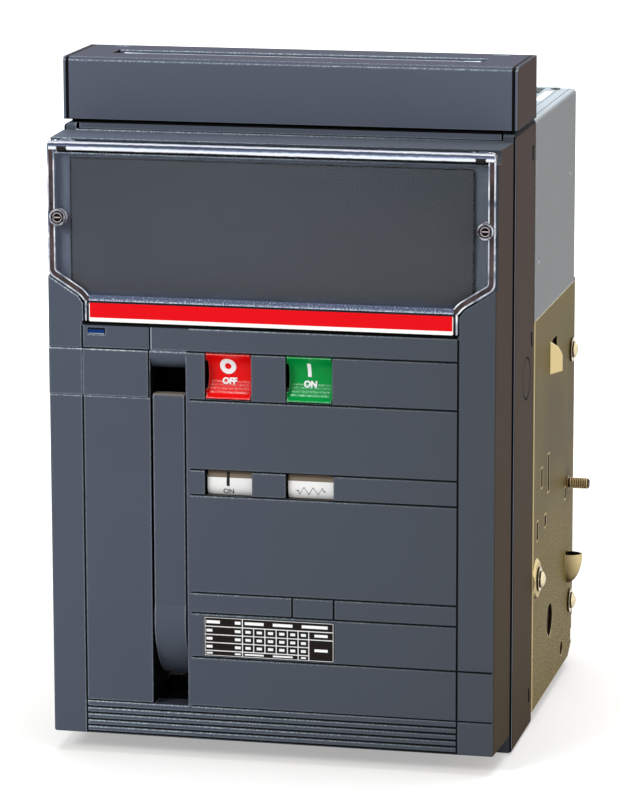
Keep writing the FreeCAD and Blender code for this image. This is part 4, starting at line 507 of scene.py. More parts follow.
def platedZinc(name):
    # The side plates: olive, speckled towards the foot, with painted shade that makes them dark in their holes, and
    # painted light that makes them pale on the raised forms
    cream = coverPaint["cream"]
    mat = mottledFinish(name, srgb(108, 94, 46), rough=0.5, metal=0.2, cloud=30.0, swing=0.2,
                        tint=srgb(96, 86, 48), relief=0.25, edge=0.0009, wearAndHighlight=cream, wearAndHighlightAmount=0.9, gloss=0.1)
    spot = here()
    across = absolute(spot["X"])
    drawn = put("Mapping", {"Vector": objectPlace(), "Rotation": (0.5, 0, 0), "Scale": (1.0, 330.0, 760.0)})
    dots = put("TexVoronoi", {"Vector": drawn.outputs["Vector"], "Scale": 1.0, "Randomness": 0.55})
    speck = ramp(dots.outputs["Distance"], 0.4, 0.2)
    paintOver(times(speck, ramp(spot["Z"], *plate["speckFade"])), plate["speck"])
    # Darker in patches across the middle, and a painted highlight line down the edge that meets the frame
    middle = times(ramp(spot["Z"], *plate["middleFoot"]), ramp(spot["Z"], *plate["middleTop"]))
    paintOver(times(middle, ramp(noise(14.0, 3.0), 0.35, 0.6, 0.15, 0.6)), plate["middleTone"])
    paintOver(times(between(spot["Y"], *plate["edge"]), above(across, plate["edgeFace"]), 0.85), cream)
    # Painted shadow round the stud
    near = reachFrom(spot["Y"], spot["Z"], stud["y"] * mm, stud["z"] * mm)
    paintOver(ramp(near, *plate["studShade"]), plate["shade"])
    # Painted light and shade on the raised forms: pale where they face the light, brown away from it
    normal = facing()
    lit = plus(times(absolute(normal["X"]), 0.62), times(normal["Y"], -0.45), times(normal["Z"], 0.64))
    paintOver(times(above(across, plate["raised"]), 0.9), blendTwo(ramp(lit, *plate["lit"]), plate["low"], cream))
    # Painted shade in the holes
    hole = most(below(absolute(facing("True Normal")["X"]), 0.5), below(across, plate["sunk"]))
    paintOver(times(hole, between(across, *plate["depth"]), between(spot["Y"], *plate["length"]),
                    between(spot["Z"], *plate["height"])), plate["dark"])
    # Painted shade inside the cup that stands out near the rear edge
    steps = [chain("DIVIDE", minus(across if axis == "X" else spot[axis], centre), half)
             for axis, (centre, half) in plate["cup"].items()]
    within = below(plus(*[times(step, step) for step in steps]), plate["cupPart"])
    paintOver(times(within, above(across, plate["cupFace"])), plate["dark"])
    return mat


def threadedFinish(name):
    # The stud: dark in its thread and golden on the crests, as painted shade and painted highlights
    mat = mottledFinish(name, srgb(120, 92, 56), rough=0.3, metal=0.6, cloud=80.0, swing=0.25, edge=0.0002,
                        gloss=0.3)
    spot = here()
    out = reachFrom(spot["Y"], spot["Z"], stud["y"] * mm, stud["z"] * mm)
    crest = blendTwo(ramp(out, 0.00345, 0.0039), srgb(34, 22, 14), srgb(226, 200, 150))
    paintOver(above(absolute(spot["X"]), 0.1495), crest)
    return mat


moulded = dict(colour=coverPaint["blue"], wearAndHighlight=coverPaint["line"], rough=0.6, swing=0.05, grain=1500.0,
               edge=0.0009, gloss=0.08)
steel = dict(rough=0.35, metal=1.0, swing=0.1)
button = dict(rough=0.3, swing=0.03, gloss=0.12, edge=0.0007, wearAndHighlightAmount=0.6)
looks = {
    "coverBlue": dict(moulded, relief=0.1),
    "frameBlue": moulded,
    "boxBlue": dict(moulded, colour=coverPaint["box"]),
    "leverBlue": dict(moulded, wearAndHighlight=srgb(206, 214, 226)),
    "panelBlue": dict(colour=srgb(54, 58, 63), rough=0.6, swing=0.03, gloss=0.06),
    "plateDark": dict(colour=srgb(27, 21, 20), swing=0.1, gloss=0.1),
    "lightGrey": dict(colour=srgb(130, 134, 138), rough=0.6, swing=0.04, edge=0.0012,
                      wearAndHighlight=srgb(220, 232, 240), wearAndHighlightAmount=0.9, gloss=0.1),
    "brightZinc": dict(steel, colour=srgb(205, 202, 192), rough=0.28, cloud=60.0),
    "burrCream": dict(colour=srgb(196, 178, 118), rough=0.35, metal=0.3, cloud=200.0, swing=0.3, gloss=0.2),
    "paintedHoleShade": dict(colour=srgb(22, 16, 9), rough=0.7, swing=0.2, gloss=0.05),
    "plainSteel": dict(steel, colour=srgb(150, 150, 150)),
    "springSteel": dict(steel, colour=srgb(96, 96, 100)),
    "bronze": dict(steel, colour=srgb(176, 132, 82), swing=0.12),
    "mouldedBrown": dict(colour=srgb(72, 46, 34), rough=0.5, grain=1200.0),
    "chutePale": dict(colour=srgb(214, 222, 226), rough=0.6, swing=0.05),
    "sheetPale": dict(colour=srgb(160, 171, 179), rough=0.6, swing=0.08, cloud=40.0, gloss=0.1),
    "silveredCopper": dict(steel, colour=srgb(204, 200, 192), rough=0.3),
    "bareCopper": dict(steel, colour=srgb(190, 120, 88), rough=0.34, swing=0.14),
    "palePlastic": dict(colour=srgb(226, 230, 232), rough=0.5, swing=0.04),
    "blackPlastic": dict(colour=srgb(22, 21, 22), rough=0.4, swing=0.1),
    "knurledGrey": dict(colour=srgb(70, 74, 82), rough=0.5, cloud=900.0, swing=0.75, grain=2200.0,
                        relief=0.5),
    "bandRed": dict(colour=srgb(224, 4, 18), rough=0.35, swing=0.02, gloss=0.1),
    "buttonRed": dict(button, colour=srgb(228, 10, 12), wearAndHighlight=srgb(255, 170, 165)),
    "buttonGreen": dict(button, colour=srgb(0, 146, 64), wearAndHighlight=srgb(160, 236, 190)),
    "buttonBlue": dict(colour=srgb(0, 42, 102), rough=0.35, swing=0.05, gloss=0.12),
    "stripPale": dict(colour=srgb(222, 230, 242), cloud=60.0, swing=0.1),
    "markWhite": dict(colour=srgb(246, 248, 250), rough=0.5, swing=0.01, gloss=0.2),
    "markBlack": dict(colour=srgb(18, 17, 17), rough=0.5, swing=0.02, gloss=0.2),
    "glintPale": dict(colour=srgb(224, 206, 208), rough=0.3, cloud=700.0, swing=0.25),
}


def makeFinishes():
    made = {name: mottledFinish(name, **look) for name, look in looks.items()}
    for name, kind in (("yellowZinc", platedZinc), ("domeZinc", paintedLightDome), ("threadGold", threadedFinish),
                       ("drumWhite", bandedDrum), ("panelSkin", panelFinish), ("screwBlack", screwFinish),
                       ("edgeGleam", gleamFinish), ("clearShield", clearFinish)):
        made[name] = kind(name)
    for name, low, high, scale in (("rimBright", srgb(106, 118, 142), srgb(238, 243, 252), 70.0),
                                   ("cupPale", srgb(46, 44, 50), srgb(184, 190, 204), 150.0),
                                   ("rimDark", srgb(40, 32, 33), srgb(78, 64, 66), 50.0)):
        made[name] = streakedFinish(name, low, high, scale)
    for name in ("coverBlue", "frameBlue", "leverBlue"):
        paintedLightFromLeft(made[name])
    paintedHollowShade(made["coverBlue"])
    for name in ("coverBlue", "frameBlue", "boxBlue"):
        paintedFlankLightAndGapShade(made[name])
    rearEdge(made["coverBlue"])
    paintedFrameShade(made["frameBlue"])
    # Painted shading on the tops: darker on the terminal box, paler on the grey housing and the lever
    paintedTopShading(made["boxBlue"], coverPaint["boxTopShading"], 0.9)
    paintedTopShading(made["lightGrey"], srgb(166, 176, 184))
    paintedTopShading(made["leverBlue"], srgb(150, 140, 128), 0.7)
    # Painted shade in the gap between the terminal box and its caps and under the box; painted shade and a painted
    # highlight line on the reset button
    for name, *zone in (("boxBlue", "X", 0.1446, 0.1467, paintedShade),
                        ("boxBlue", "Z", 0.4040, 0.4067, paintedShade),
                        ("buttonBlue", "Z", 0.2793, 0.2830, srgb(8, 10, 18)),
                        ("buttonBlue", "Z", 0.2750, 0.2769, srgb(176, 188, 202)),
                        ("bandRed", "Z", 0.28, 0.2869, srgb(246, 246, 246)),
                        ("bandRed", "X", 0.1174, 0.12, srgb(240, 240, 240)),
                        ("lightGrey", "X", 0.1441, 0.1447, srgb(40, 36, 32), 0.9)):
        zoneFinish(made[name], *zone)
    return made


slotFinish = {
    "cover_plastic": "coverBlue", "frame_plastic": "frameBlue", "panel_plastic": "panelBlue",
    "dark_plate": "plateDark", "steel": "plainSteel", "spring_steel": "springSteel",
    "zinc_steel": "brightZinc", "yellow_zinc": "yellowZinc", "bronze": "bronze",
    "grey_housing": "lightGrey", "moulded_insulation": "mouldedBrown", "chute_insulation": "chutePale",
    "silvered_copper": "silveredCopper", "copper": "bareCopper", "pale_plastic": "palePlastic",
    "black_plastic": "blackPlastic", "lever_plastic": "leverBlue", "clear_shield": "clearShield",
    "red_strip": "bandRed", "red_button": "buttonRed", "green_button": "buttonGreen",
    "blue_button": "buttonBlue", "white_flag": "drumWhite",
}
nodeFinish = {
    "terminal_box": "boxBlue", "terminal_box_cap_left": "boxBlue", "terminal_box_cap_right": "boxBlue",
    "side_screws": "domeZinc", "ratchet_wheel": "knurledGrey", "shield_screw_left": "screwBlack",
    "shield_screw_right": "screwBlack", "lock_pad": "frameBlue",
}


def dressNodes():
    for part in frame["record"]["subparts"]:
        piece = frame["nodes"][part["node"]]
        wanted = finishes[nodeFinish.get(part["node"]) or slotFinish[part["material_slot"]]]
        if not piece.material_slots:
            piece.data.materials.append(wanted)
        for slot in piece.material_slots:
            slot.material = wanted


# Selecting and modelling; places are in millimetres


def clearSelection():
    if bpy.context.object and bpy.context.object.mode != "OBJECT":
        bpy.ops.object.mode_set(mode="OBJECT")
    bpy.ops.object.select_all(action="DESELECT")


def selectOnly(piece):
    clearSelection()
    piece.select_set(True)
    bpy.context.view_layer.objects.active = piece


def pickAll(kind=None):
    if kind:
        bpy.ops.mesh.select_mode(type=kind)
    bpy.ops.mesh.select_all(action="SELECT")


def startEdit(piece, kind=None):
    selectOnly(piece)
    bpy.ops.object.mode_set(mode="EDIT")
    pickAll(kind)


def endEdit(outward=False):
    if outward:
        pickAll()
        bpy.ops.mesh.normals_make_consistent(inside=False)
    bpy.ops.object.mode_set(mode="OBJECT")


def pickSome(piece, kind, wanted):
    # The points, edges or faces that the test takes, with nothing else selected
    bpy.ops.mesh.select_all(action="DESELECT")
    bpy.ops.object.mode_set(mode="OBJECT")
    for part in getattr(piece.data, kind):
        part.select = wanted(part)
    bpy.ops.object.mode_set(mode="EDIT")


def nameIt(name):
    piece = bpy.context.object
    piece.name = name
    piece.data.name = name
    return piece


def applyPlace():
    bpy.ops.object.transform_apply(location=True, rotation=True, scale=True)


def useModifier(piece, kind, **settings):
    selectOnly(piece)
    made = piece.modifiers.new("shaping", kind)
    for key, value in settings.items():
        setattr(made, key, value)
    bpy.ops.object.modifier_apply(modifier=made.name)


def addBlock(name, low, high, bevel=0.0):
    # A block between any two opposite corners, with rounded edges
    clearSelection()
    bpy.ops.mesh.primitive_cube_add(size=1.0, location=[(a + b) / 2 * mm for a, b in zip(low, high)])
    piece = nameIt(name)
    piece.scale = [abs(b - a) * mm for a, b in zip(low, high)]
    applyPlace()
    if bevel:
        useModifier(piece, "BEVEL", width=bevel * mm, segments=2)
    return piece


def cutBlock(piece, low, high, bevel=0.0):
    cutter = addBlock("cutter", low, high, bevel)
    useModifier(piece, "BOOLEAN", operation="DIFFERENCE", object=cutter, solver="EXACT")
    bpy.data.objects.remove(cutter)


def addPanel(name, x0, x1, z0, z1, y):
    # A flat panel that faces the front
    clearSelection()
    bpy.ops.mesh.primitive_plane_add(size=1.0, location=((x0 + x1) / 2 * mm, y * mm, (z0 + z1) / 2 * mm),
                                     rotation=(math.pi / 2, 0, 0))
    piece = nameIt(name)
    piece.scale = ((x1 - x0) * mm, (z1 - z0) * mm, 1.0)
    applyPlace()
    return piece


def turned(name, rings, place, way, count):
    # A turned piece: a disc drawn out ring by ring, each ring a distance along the axis and a radius
    clearSelection()
    axis = Vector(way)
    start, radius = rings[0]
    centre = (Vector(place) + axis * start) * mm
    bpy.ops.mesh.primitive_circle_add(vertices=count, radius=radius * mm, fill_type="NGON", location=centre,
                                      rotation=axis.to_track_quat("Z", "Y").to_euler())
    piece = nameIt(name)
    applyPlace()
    startEdit(piece, "FACE")
    for distance, nextRadius in rings[1:]:
        step = axis * (distance - start) * mm
        bpy.ops.mesh.extrude_region_move(TRANSFORM_OT_translate={"value": step})
        centre = centre + step
        grow = nextRadius / radius
        bpy.ops.transform.resize(value=(grow, grow, grow), center_override=centre)
        start, radius = distance, nextRadius
    endEdit(outward=True)
    return piece


def flatRing(name, outer, inner, place):
    # A flat ring that faces the front
    clearSelection()
    centre = Vector(place) * mm
    bpy.ops.mesh.primitive_circle_add(vertices=56, radius=outer * mm, fill_type="NOTHING", location=centre,
                                      rotation=(math.pi / 2, 0, 0))
    piece = nameIt(name)
    applyPlace()
    startEdit(piece, "EDGE")
    bpy.ops.mesh.extrude_edges_move(TRANSFORM_OT_translate={"value": (0, 0, 0)})
    part = inner / outer
    bpy.ops.transform.resize(value=(part, part, part), center_override=centre)
    endEdit()
    return piece


def flatWord(name, word, height, place, bold=0.0):
    # Plain lettering, upright, facing the front, centred on its place
    clearSelection()
    bpy.ops.object.text_add()
    data = nameIt(name).data
    data.body = word
    data.size = height * mm * 1.38
    data.align_x = "CENTER"
    data.offset = bold * mm
    data.resolution_u = 4
    bpy.ops.object.convert(target="MESH")
    piece = nameIt(name)
    piece.rotation_euler = (math.pi / 2, 0, 0)
    piece.location = (place[0] * mm, place[1] * mm, (place[2] - height / 2) * mm)
    applyPlace()
    return piece


def bentLine(name, points, thick=0.0):
    # A line through points, as a thin rod or a bare edge, made a mesh
    curve = bpy.data.curves.new(name, "CURVE")
    curve.dimensions = "3D"
    curve.bevel_depth = thick * mm
    curve.bevel_resolution = 2
    line = curve.splines.new("POLY")
    line.points.add(len(points) - 1)
    for point, spot in zip(line.points, points):
        point.co = (*[c * mm for c in spot], 1.0)
    piece = bpy.data.objects.new(name, curve)
    scene.collection.objects.link(piece)
    selectOnly(piece)
    bpy.ops.object.convert(target="MESH")
    return nameIt(name)


def joinAll(name, parts):
    clearSelection()
    for part in parts:
        part.select_set(True)
    bpy.context.view_layer.objects.active = parts[0]
    bpy.ops.object.join()
    return nameIt(name)


def layOn(piece, node, low, high, thick=0.12, step=0.8):
    # A flat mark, cut across so that it can follow a node's round face, laid on it with a little thickness
    startEdit(piece)
    for i in range(1, int((high - low) / step)):
        pickAll()
        bpy.ops.mesh.bisect(plane_co=(0, 0, (low + i * step) * mm), plane_no=(0, 0, 1))
    endEdit()
    useModifier(piece, "SHRINKWRAP", target=frame["nodes"][node], wrap_method="PROJECT", use_project_y=True,
                use_positive_direction=True, use_negative_direction=False, offset=0.0)
    startEdit(piece)
    bpy.ops.transform.translate(value=(0, -thick * mm, 0))
    endEdit()
    useModifier(piece, "SOLIDIFY", thickness=1.5 * thick * mm, offset=0.0)


def finishPiece(piece, body, slot, *names):
    selectOnly(piece)
    bpy.ops.object.shade_smooth_by_angle(angle=math.radians(40.0))
    if names:
        piece.data.materials.clear()
        for name in names:
            piece.data.materials.append(finishes[name])
    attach(piece, body)


# Painted highlights on the clear shield: a thin sheet with bright and dark bands round its edges, a bright streaked
# upper edge and painted shade blocks in its notches; and the cups round its screws

shieldHighlight = dict(
    face=-199.92, thick=0.2, sideFoot=314.2, shoulder=(124.0, 301.2), foot=(120.6, 296.8), open=297.8,
    bands=(1.0, 2.9, 0.8), close=0.4, corners=((399.5, 3.0), (314.2, 3.5), (301.2, 2.0)))
footHighlight = dict(outer=120.6, inner=119.5, low=284.6, high=298.6, half=0.1, round=0.08)
gleam = dict(low=393.9, high=399.4, face=-200.13, thick=0.12, endGap=1.0, round=0.05)
notch = dict(near=131.4, far=138.3, low=393.2, high=396.3, depth=2.4, face=-200.05, gapX=0.3, gapZ=0.1, round=0.2)
cup = dict(
    x=137.9, z=350.6, seat=-199.8, outer=5.75, inner=4.15, rise=1.3, tail=5.3, groove=4.75, paleFrom=4.35,
    paleTo=5.45, capSides=40)
glint = dict(front=-200.75, rear=-200.45, halfWide=1.9, halfTall=0.35, round=0.12)


def makeShieldEdgeHighlight():
    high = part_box("release_shield")[1]
    half = high.x / mm
    piece = addPanel("shieldEdgeHighlight", -half, half, shieldHighlight["sideFoot"], high.z / mm, shieldHighlight["face"])
    startEdit(piece, "EDGE")
    points = piece.data.vertices
    pickSome(piece, "edges", lambda edge: all(points[i].co.z < (shieldHighlight["sideFoot"] + shieldHighlight["close"]) * mm
                                              for i in edge.vertices))
    width, level = half, shieldHighlight["sideFoot"]
    for nextWidth, nextLevel in (shieldHighlight["shoulder"], shieldHighlight["foot"]):
        bpy.ops.mesh.extrude_edges_move(TRANSFORM_OT_translate={"value": (0, 0, (nextLevel - level) * mm)})
        bpy.ops.transform.resize(value=(nextWidth / width, 1, 1),
                                 center_override=(0, shieldHighlight["face"] * mm, nextLevel * mm))
        width, level = nextWidth, nextLevel
    pickAll("FACE")
    bpy.ops.mesh.dissolve_faces()
    bpy.ops.mesh.select_mode(type="VERT")
    for level, radius in shieldHighlight["corners"]:
        pickSome(piece, "vertices", lambda point: abs(point.co.z / mm - level) < shieldHighlight["close"])
        bpy.ops.mesh.bevel(offset=radius * mm, segments=4, affect="VERTICES")
    pickAll("FACE")
    for look in ("rimBright", "rimDark", "rimBright"):
        piece.data.materials.append(finishes[look])
    for number, band in enumerate(shieldHighlight["bands"], 1):
        bpy.ops.mesh.inset(thickness=band * mm, use_even_offset=True)
        piece.active_material_index = number % 3
        bpy.ops.object.material_slot_assign()
    bpy.ops.mesh.delete(type="FACE")
    # Open at the strip's end, where the painted highlight lines at the foot go on
    pickAll()
    bpy.ops.mesh.bisect(plane_co=(0, 0, shieldHighlight["open"] * mm), plane_no=(0, 0, 1), clear_inner=True)
    endEdit(outward=True)
    useModifier(piece, "SOLIDIFY", thickness=shieldHighlight["thick"] * mm, offset=0.0)
    finishPiece(piece, "shield", "clear_shield")
    for label, side in sides:
        footLine = addBlock("footHighlight" + label,
                        (side * footHighlight["outer"], shieldHighlight["face"] - footHighlight["half"], footHighlight["low"]),
                        (side * footHighlight["inner"], shieldHighlight["face"] + footHighlight["half"], footHighlight["high"]),
                        footHighlight["round"])
        finishPiece(footLine, "shield", "clear_shield", "rimBright")


def makeTopGleam():
    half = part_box("release_shield")[1].x / mm - gleam["endGap"]
    piece = addBlock("topGleam", (-half, gleam["face"], gleam["low"]),
                     (half, gleam["face"] + gleam["thick"], gleam["high"]), gleam["round"])
    for label, side in sides:
        cutBlock(piece, (side * notch["near"], gleam["face"] - 1, notch["low"]),
                 (side * notch["far"], gleam["face"] + 1, notch["high"]))
    finishPiece(piece, "shield", "clear_shield", "edgeGleam")
    # Painted shade: a black block in each notch
    for label, side in sides:
        back = addBlock("notchShade" + label,
                        (side * (notch["near"] + notch["gapX"]), notch["face"], notch["low"] + notch["gapZ"]),
                        (side * (notch["far"] - notch["gapX"]), notch["face"] + notch["depth"],
                         notch["high"] - notch["gapZ"]), notch["round"])
        finishPiece(back, "shield", "black_plastic", "markBlack")


def makeScrewCups():
    rise, tail, outer, inner = cup["rise"], cup["tail"], cup["outer"], cup["inner"]
    rings = [(-tail, outer - 0.6), (rise - 0.6, outer), (rise - 0.15, outer - 0.3), (rise, outer - 0.6),
             (rise - 0.05, cup["groove"]), (rise - 0.4, inner + 0.1), (-tail + 0.4, inner)]
    for label, side in sides:
        x = side * cup["x"]
        piece = turned("screwCup" + label, rings, (x, cup["seat"], cup["z"]), (0, -1, 0), 48)
        startEdit(piece)
        pickSome(piece, "polygons", lambda face: len(face.vertices) > cup["capSides"])
        bpy.ops.mesh.delete(type="FACE")
        endEdit()
        finishPiece(piece, "shield", "black_plastic", "cupPale", "rimDark")
        for face in piece.data.polygons:
            out = (face.center - Vector((x * mm, face.center.y, cup["z"] * mm))).length / mm
            face.material_index = 0 if cup["paleFrom"] < out < cup["paleTo"] else 1
        # A painted glint: a pale bar in each screw's slot
        line = addBlock("slotGlint" + label, (x - glint["halfWide"], glint["front"], cup["z"] - glint["halfTall"]),
                        (x + glint["halfWide"], glint["rear"], cup["z"] + glint["halfTall"]), glint["round"])
        finishPiece(line, "shield_screw_" + label.lower(), "black_plastic", "glintPale")


# A skin that fills the blank panel's pocket

panelSkin = dict(low=(-130.4, -196.0, 298.1), high=(130.4, -195.8, 388.9), bevel=0.06)


def makePanelSkin():
    finishPiece(addBlock("panelSkin", **panelSkin), "housing", "panel_plastic", "panelSkin")


# The pale strip that shows in the terminal box's slot, parted as its blocks are

labelStrip = dict(
    low=(-117.5, -120.5, 442.3), high=(117.5, -106.5, 445.3), round=0.3, pitch=11.75, groove=0.7, deep=0.5,
    partings=range(-9, 10))


def makeLabelStrip():
    look = labelStrip
    piece = addBlock("labelStrip", look["low"], look["high"], look["round"])
    partings = [i * look["pitch"] for i in look["partings"]]
    startEdit(piece)
    for place in partings:
        for side in (-1, 1):
            pickAll()
            bpy.ops.mesh.bisect(plane_co=((place + side * look["groove"] / 2) * mm, 0, 0), plane_no=(1, 0, 0))
    endEdit()
    for point in piece.data.vertices:
        near = min(abs(point.co.x / mm - place) for place in partings)
        if near < look["groove"] * 0.6 and point.co.z > (look["high"][2] - 0.1) * mm:
            point.co.z -= look["deep"] * mm
    finishPiece(piece, "housing", "pale_plastic", "stripPale")


# Words and signs on the buttons and the drums

buttonMarks = dict(
    offX=-28.6, onX=24.4, ringZ=257.6, ringOuter=5.3, ringInner=2.1, barHalf=1.2, barLow=252.6, barHigh=261.8,
    signZone=(250.0, 263.0), offWordX=-27.6, onWordX=25.0, wordZ=248.2, wordHeight=3.9, wordBold=0.3,
    wordZone=(244.0, 252.0), wordThick=0.3, front=-205.0)


def makeButtonMarks():
    look = buttonMarks
    ring = flatRing("offRing", look["ringOuter"], look["ringInner"], (look["offX"], look["front"], look["ringZ"]))
    bar = addPanel("onBar", look["onX"] - look["barHalf"], look["onX"] + look["barHalf"],
                   look["barLow"], look["barHigh"], look["front"])
    for piece, body in ((ring, "off_button"), (bar, "on_button")):
        layOn(piece, body, *look["signZone"])
        finishPiece(piece, body, "white_flag", "markWhite")
    for name, word, x, body in (("offWord", "OFF", look["offWordX"], "off_button"),
                                ("onWord", "ON", look["onWordX"], "on_button")):
        piece = flatWord(name, word, look["wordHeight"], (x, look["front"], look["wordZ"]), look["wordBold"])
        layOn(piece, body, *look["wordZone"], look["wordThick"])
        finishPiece(piece, body, "white_flag", "markWhite")


drumMarks = dict(
    axisY=-178.6, axisZ=182.2, radius=17.5, turn=58.0, bandStart=-26.8, white=38.0, barX=-28.4, barHalf=0.95,
    barLow=180.2, barHigh=189.2, wordX=-28.2, wordZ=176.9, wordHeight=3.3, offDrop=0.2, ringOuter=3.6,
    ringInner=2.3, ringZ=182.6, zone=(172.0, 192.0), springX=25.7, springZ=179.4, springHeight=4.6,
    springThick=0.28, springLift=0.05, springEnds=(0.6, 2.0), looseSpring=(3.0, 5), tightSpring=(1.5, 7),
    front=-205.0)


def turnWithDrum(piece):
    # To the other half of the drum's face
    centre = Vector((0, drumMarks["axisY"] * mm, drumMarks["axisZ"] * mm))
    turn = Matrix.Rotation(math.radians(-drumMarks["turn"]), 4, "X")
    piece.data.transform(Matrix.Translation(centre) @ turn @ Matrix.Translation(-centre))


def springSign(name, pitch, count):
    # A generic spring sign: a zigzag between two bars, as a thin rod on the drum's face
    look = drumMarks
    start = -pitch * count / 2
    short, long = look["springEnds"]
    steps = [(start - long, 0.0), (start - short, 0.0)]
    steps += [(start + i * pitch, look["springHeight"] / 2 * (1 if i % 2 else -1)) for i in range(count + 1)]
    steps += [(short - start, 0.0), (long - start, 0.0)]
    points = []
    for along, rise in steps:
        z = look["springZ"] + rise
        depth = math.sqrt(look["radius"] ** 2 - (z - look["axisZ"]) ** 2)
        points.append((look["springX"] + along, look["axisY"] - depth - look["springLift"], z))
    return bentLine(name, points, look["springThick"])


def makeDrumMarks():
    look = drumMarks
    front = look["front"]
    bar = addPanel("positionBar", look["barX"] - look["barHalf"], look["barX"] + look["barHalf"],
                   look["barLow"], look["barHigh"], front)
    word = flatWord("positionOn", "ON", look["wordHeight"], (look["wordX"], front, look["wordZ"]))
    ring = flatRing("positionRing", look["ringOuter"], look["ringInner"], (look["barX"], front, look["ringZ"]))
    off = flatWord("positionOff", "OFF", look["wordHeight"],
                   (look["wordX"], front, look["wordZ"] - look["offDrop"]))
    for piece in (bar, word, ring, off):
        layOn(piece, "position_indicator", *look["zone"])
        if piece in (ring, off):
            turnWithDrum(piece)
        finishPiece(piece, "position_indicator", "black_plastic", "markBlack")
    loose = springSign("springLoose", *look["looseSpring"])
    tight = springSign("springTight", *look["tightSpring"])
    turnWithDrum(tight)
    for piece in (loose, tight):
        finishPiece(piece, "spring_indicator", "black_plastic", "markBlack")


# The rating plate's blank table

table = dict(
    left=-43.4, right=41.1, rows=(94.3, 88.4, 83.0, 77.7, 72.4, 69.1), firstColumn=-18.6,
    columns=(-11.2, -3.8, 3.6, 11.0, 18.0, 25.0), front=-200.42, line=0.32, lineThick=0.08, wideRoom=30,
    wideDashes=((1.5, 14.0), (20.0, 33.0), (39.0, 56.0)), leftDash=(1.0, 5.0), titleMore=5.0, unitDash=(5.0, 1.2),
    edge=0.8, share=0.3, tallShare=0.17, tallest=8, tallDash=0.9, endGap=0.6, dashThick=0.06)


def tableCells():
    rows = table["rows"]
    first = table["firstColumn"]
    edges = (first,) + table["columns"]
    cells = [(table["left"], first, rows[i + 1], rows[i]) for i in range(5)]
    cells.append((first, table["right"], rows[1], rows[0]))
    for i in range(1, 4):
        cells += [(edges[j], edges[j + 1], rows[i + 1], rows[i]) for j in range(6)]
    cells.append((first, edges[5], rows[5], rows[4]))
    cells.append((edges[5], edges[6], rows[5], rows[4]))
    cells += [(edges[6], table["right"], rows[2], rows[1]), (edges[6], table["right"], rows[5], rows[2])]
    return cells


def makeRatingTable():
    look = table
    cells = tableCells()
    lines = joinAll("plateLines", [addPanel("cell", x0, x1, z0, z1, look["front"]) for x0, x1, z0, z1 in cells])
    startEdit(lines, "FACE")
    bpy.ops.mesh.inset(thickness=look["line"] * mm, use_individual=True)
    bpy.ops.mesh.delete(type="FACE")
    endEdit()
    useModifier(lines, "SOLIDIFY", thickness=look["lineThick"] * mm, offset=0.0)
    finishPiece(lines, "housing", "white_flag", "markWhite")
    # Short blank dashes stand where the print is
    dashes = []
    for number, (x0, x1, z0, z1) in enumerate(cells):
        middle = (z0 + z1) / 2
        room = x1 - x0 - 2 * look["edge"]
        if room > look["wideRoom"]:
            spans = [(x0 + a, x0 + b) for a, b in look["wideDashes"]]
        elif number < 5:
            a, b = look["leftDash"]
            spans = [(x0 + a, x0 + b + look["titleMore"] * (number == 0)),
                     (x1 - look["unitDash"][0], x1 - look["unitDash"][1])]
        else:
            spans = [((x0 + x1) / 2 - look["share"] * room, (x0 + x1) / 2 + look["share"] * room)]
        tall = look["tallShare"] * (z1 - z0) if z1 - z0 < look["tallest"] else look["tallDash"]
        dashes += [addPanel("dash", a, b, middle - tall, middle + tall, look["front"])
                   for a, b in spans if b < x1 - look["endGap"]]
    dashes = joinAll("plateDashes", dashes)
    useModifier(dashes, "SOLIDIFY", thickness=look["dashThick"] * mm, offset=0.0)
    finishPiece(dashes, "housing", "white_flag", "markWhite")


# The threaded stud in the right-hand side plate

stud = dict(
    y=61.4, z=134.0, face=148.6, shoulder=0.6, reach=15.2, outer=4.0, root=3.35, pitch=1.25, clipRadius=7.0,
    clipRear=-6.4, plateRear=-2.4, shoulderRadius=5.0, threadStart=0.5, crest=(0.0, 0.42, 0.62, 1.04),
    plainEnd=1.9, tip=0.9, tipTaper=0.6, overlap=0.02)


def makeStud():
    look = stud
    root = look["root"] + look["overlap"]
    core = [(look["clipRear"], look["clipRadius"]), (look["plateRear"], look["clipRadius"]),
            (look["plateRear"], look["shoulderRadius"]), (look["shoulder"], look["shoulderRadius"]),
            (look["shoulder"], root), (look["reach"] - look["tip"], root),
            (look["reach"], look["root"] - look["tipTaper"])]
    base = turned("studCore", core, (look["face"], look["y"], look["z"]), (1, 0, 0), 32)
    radii = (look["root"], look["outer"], look["outer"], look["root"])
    thread = bentLine("thread", [(radius, 0, rise) for radius, rise in zip(radii, look["crest"])])
    turns = int((look["reach"] - look["shoulder"] - look["plainEnd"]) / look["pitch"])
    useModifier(thread, "SCREW", axis="Z", angle=2 * math.pi, screw_offset=look["pitch"] * mm, iterations=turns,
                steps=28, render_steps=28)
    selectOnly(thread)
    thread.rotation_euler = (0, math.pi / 2, 0)
    thread.location = [c * mm for c in (look["face"] + look["shoulder"] + look["threadStart"], look["y"], look["z"])]
    applyPlace()
    startEdit(thread)
    endEdit(outward=True)
    piece = joinAll("threadedStud", [base, thread])
    finishPiece(piece, "housing", "yellow_zinc", "threadGold")
    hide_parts("side_stud")


# Burrs round the slots in the side plates, each with a dark sheet over its hole as painted shade

slotBurrs = dict(
    face=148.6, rise=0.1, overWide=2.9, overLong=1.2, burr=1.0, floor=0.06, corner=0.45,
    places=((-19.0, 158.5, 2.4, 25.0), (-46.0, 160.8, 2.4, 12.2), (51.0, 128.8, 2.4, 7.0),
    (-31.0, 128.3, 3.0, 7.4), (-62.0, 128.2, 2.4, 12.0)))


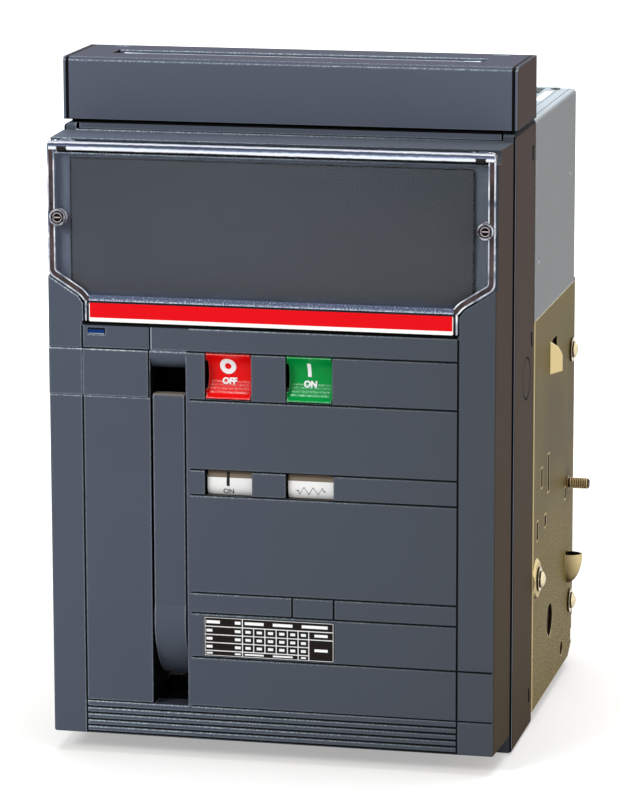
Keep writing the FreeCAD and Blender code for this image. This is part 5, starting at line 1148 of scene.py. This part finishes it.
def makeSlotBurrs():
    look = slotBurrs
    for label, side in sides:
        made = []
        for y, z, wide, long in look["places"]:
            clearSelection()
            bpy.ops.mesh.primitive_plane_add(size=1.0, rotation=(0, side * math.pi / 2, 0), location=(
                side * (look["face"] + look["floor"]) * mm, y * mm, z * mm))
            piece = nameIt("slot")
            piece.scale = ((long + 2 * look["overLong"]) * mm, (wide + 2 * look["overWide"]) * mm, 1.0)
            applyPlace()
            # The burr is pale; the dark sheet inside it is painted shade over the hole
            for name in ("burrCream", "paintedHoleShade"):
                piece.data.materials.append(finishes[name])
            startEdit(piece, "VERT")
            bpy.ops.mesh.bevel(offset=look["corner"] * wide * mm, segments=3, affect="VERTICES")
            pickAll("FACE")
            bpy.ops.mesh.inset(thickness=look["burr"] * mm, use_even_offset=True)
            piece.active_material_index = 1
            bpy.ops.object.material_slot_assign()
            bpy.ops.mesh.select_all(action="INVERT")
            bpy.ops.mesh.extrude_region_move(TRANSFORM_OT_translate={"value": (side * look["rise"] * mm, 0, 0)})
            endEdit(outward=True)
            made.append(piece)
        finishPiece(joinAll("slotBurrs" + label, made), "housing", "yellow_zinc")


# The pale sheet, its label and a clip mark on top of the upper housing

topSheet = dict(
    half=137.6, front=-28.0, rear=83.0, base=404.9, thick=0.35, round=0.12, windows=(-90.0, 0.0, 90.0),
    windowHalf=38.5, windowFront=-24.0, windowRear=76.5, windowRound=2.0)
topLabel = dict(low=(131.2, 10.0, 405.25), high=(137.0, 57.0, 405.5), bevel=0.1)
clipMark = dict(x=135.9, y=71.6, base=405.25, arm=3.2, wide=1.3, rise=0.5, round=0.3)


def makeTopSheet():
    look = topSheet
    piece = addBlock("topSheet", (-look["half"], look["front"], look["base"]),
                     (look["half"], look["rear"], look["base"] + look["thick"]))
    for middle in look["windows"]:
        cutBlock(piece, (middle - look["windowHalf"], look["windowFront"], look["base"] - 1),
                 (middle + look["windowHalf"], look["windowRear"], look["base"] + 1), look["windowRound"])
    useModifier(piece, "BEVEL", width=look["round"] * mm, segments=1)
    finishPiece(piece, "housing", "grey_housing", "sheetPale")
    finishPiece(addBlock("topLabel", **topLabel), "housing", "white_flag", "markWhite")
    look = clipMark
    arms = [addBlock("arm", (look["x"] - across, look["y"] - along, look["base"]),
                     (look["x"] + across, look["y"] + along, look["base"] + look["rise"]), look["round"])
            for across, along in ((look["arm"], look["wide"]), (look["wide"], look["arm"]))]
    finishPiece(joinAll("topClip", arms), "housing", "black_plastic", "markBlack")


makeCamera()
finishes = makeFinishes()
makeLights()
makeFloor()
print("stage: camera, lights and floor")
dressNodes()
print("stage: finishes on the nodes")
makeShieldEdgeHighlight()
makeTopGleam()
makeScrewCups()
makePanelSkin()
makeLabelStrip()
print("stage: shield, panel and label strip")
makeButtonMarks()
makeDrumMarks()
makeRatingTable()
print("stage: marks")
makeStud()
makeSlotBurrs()
makeTopSheet()
print("stage: stud, side plates and top")
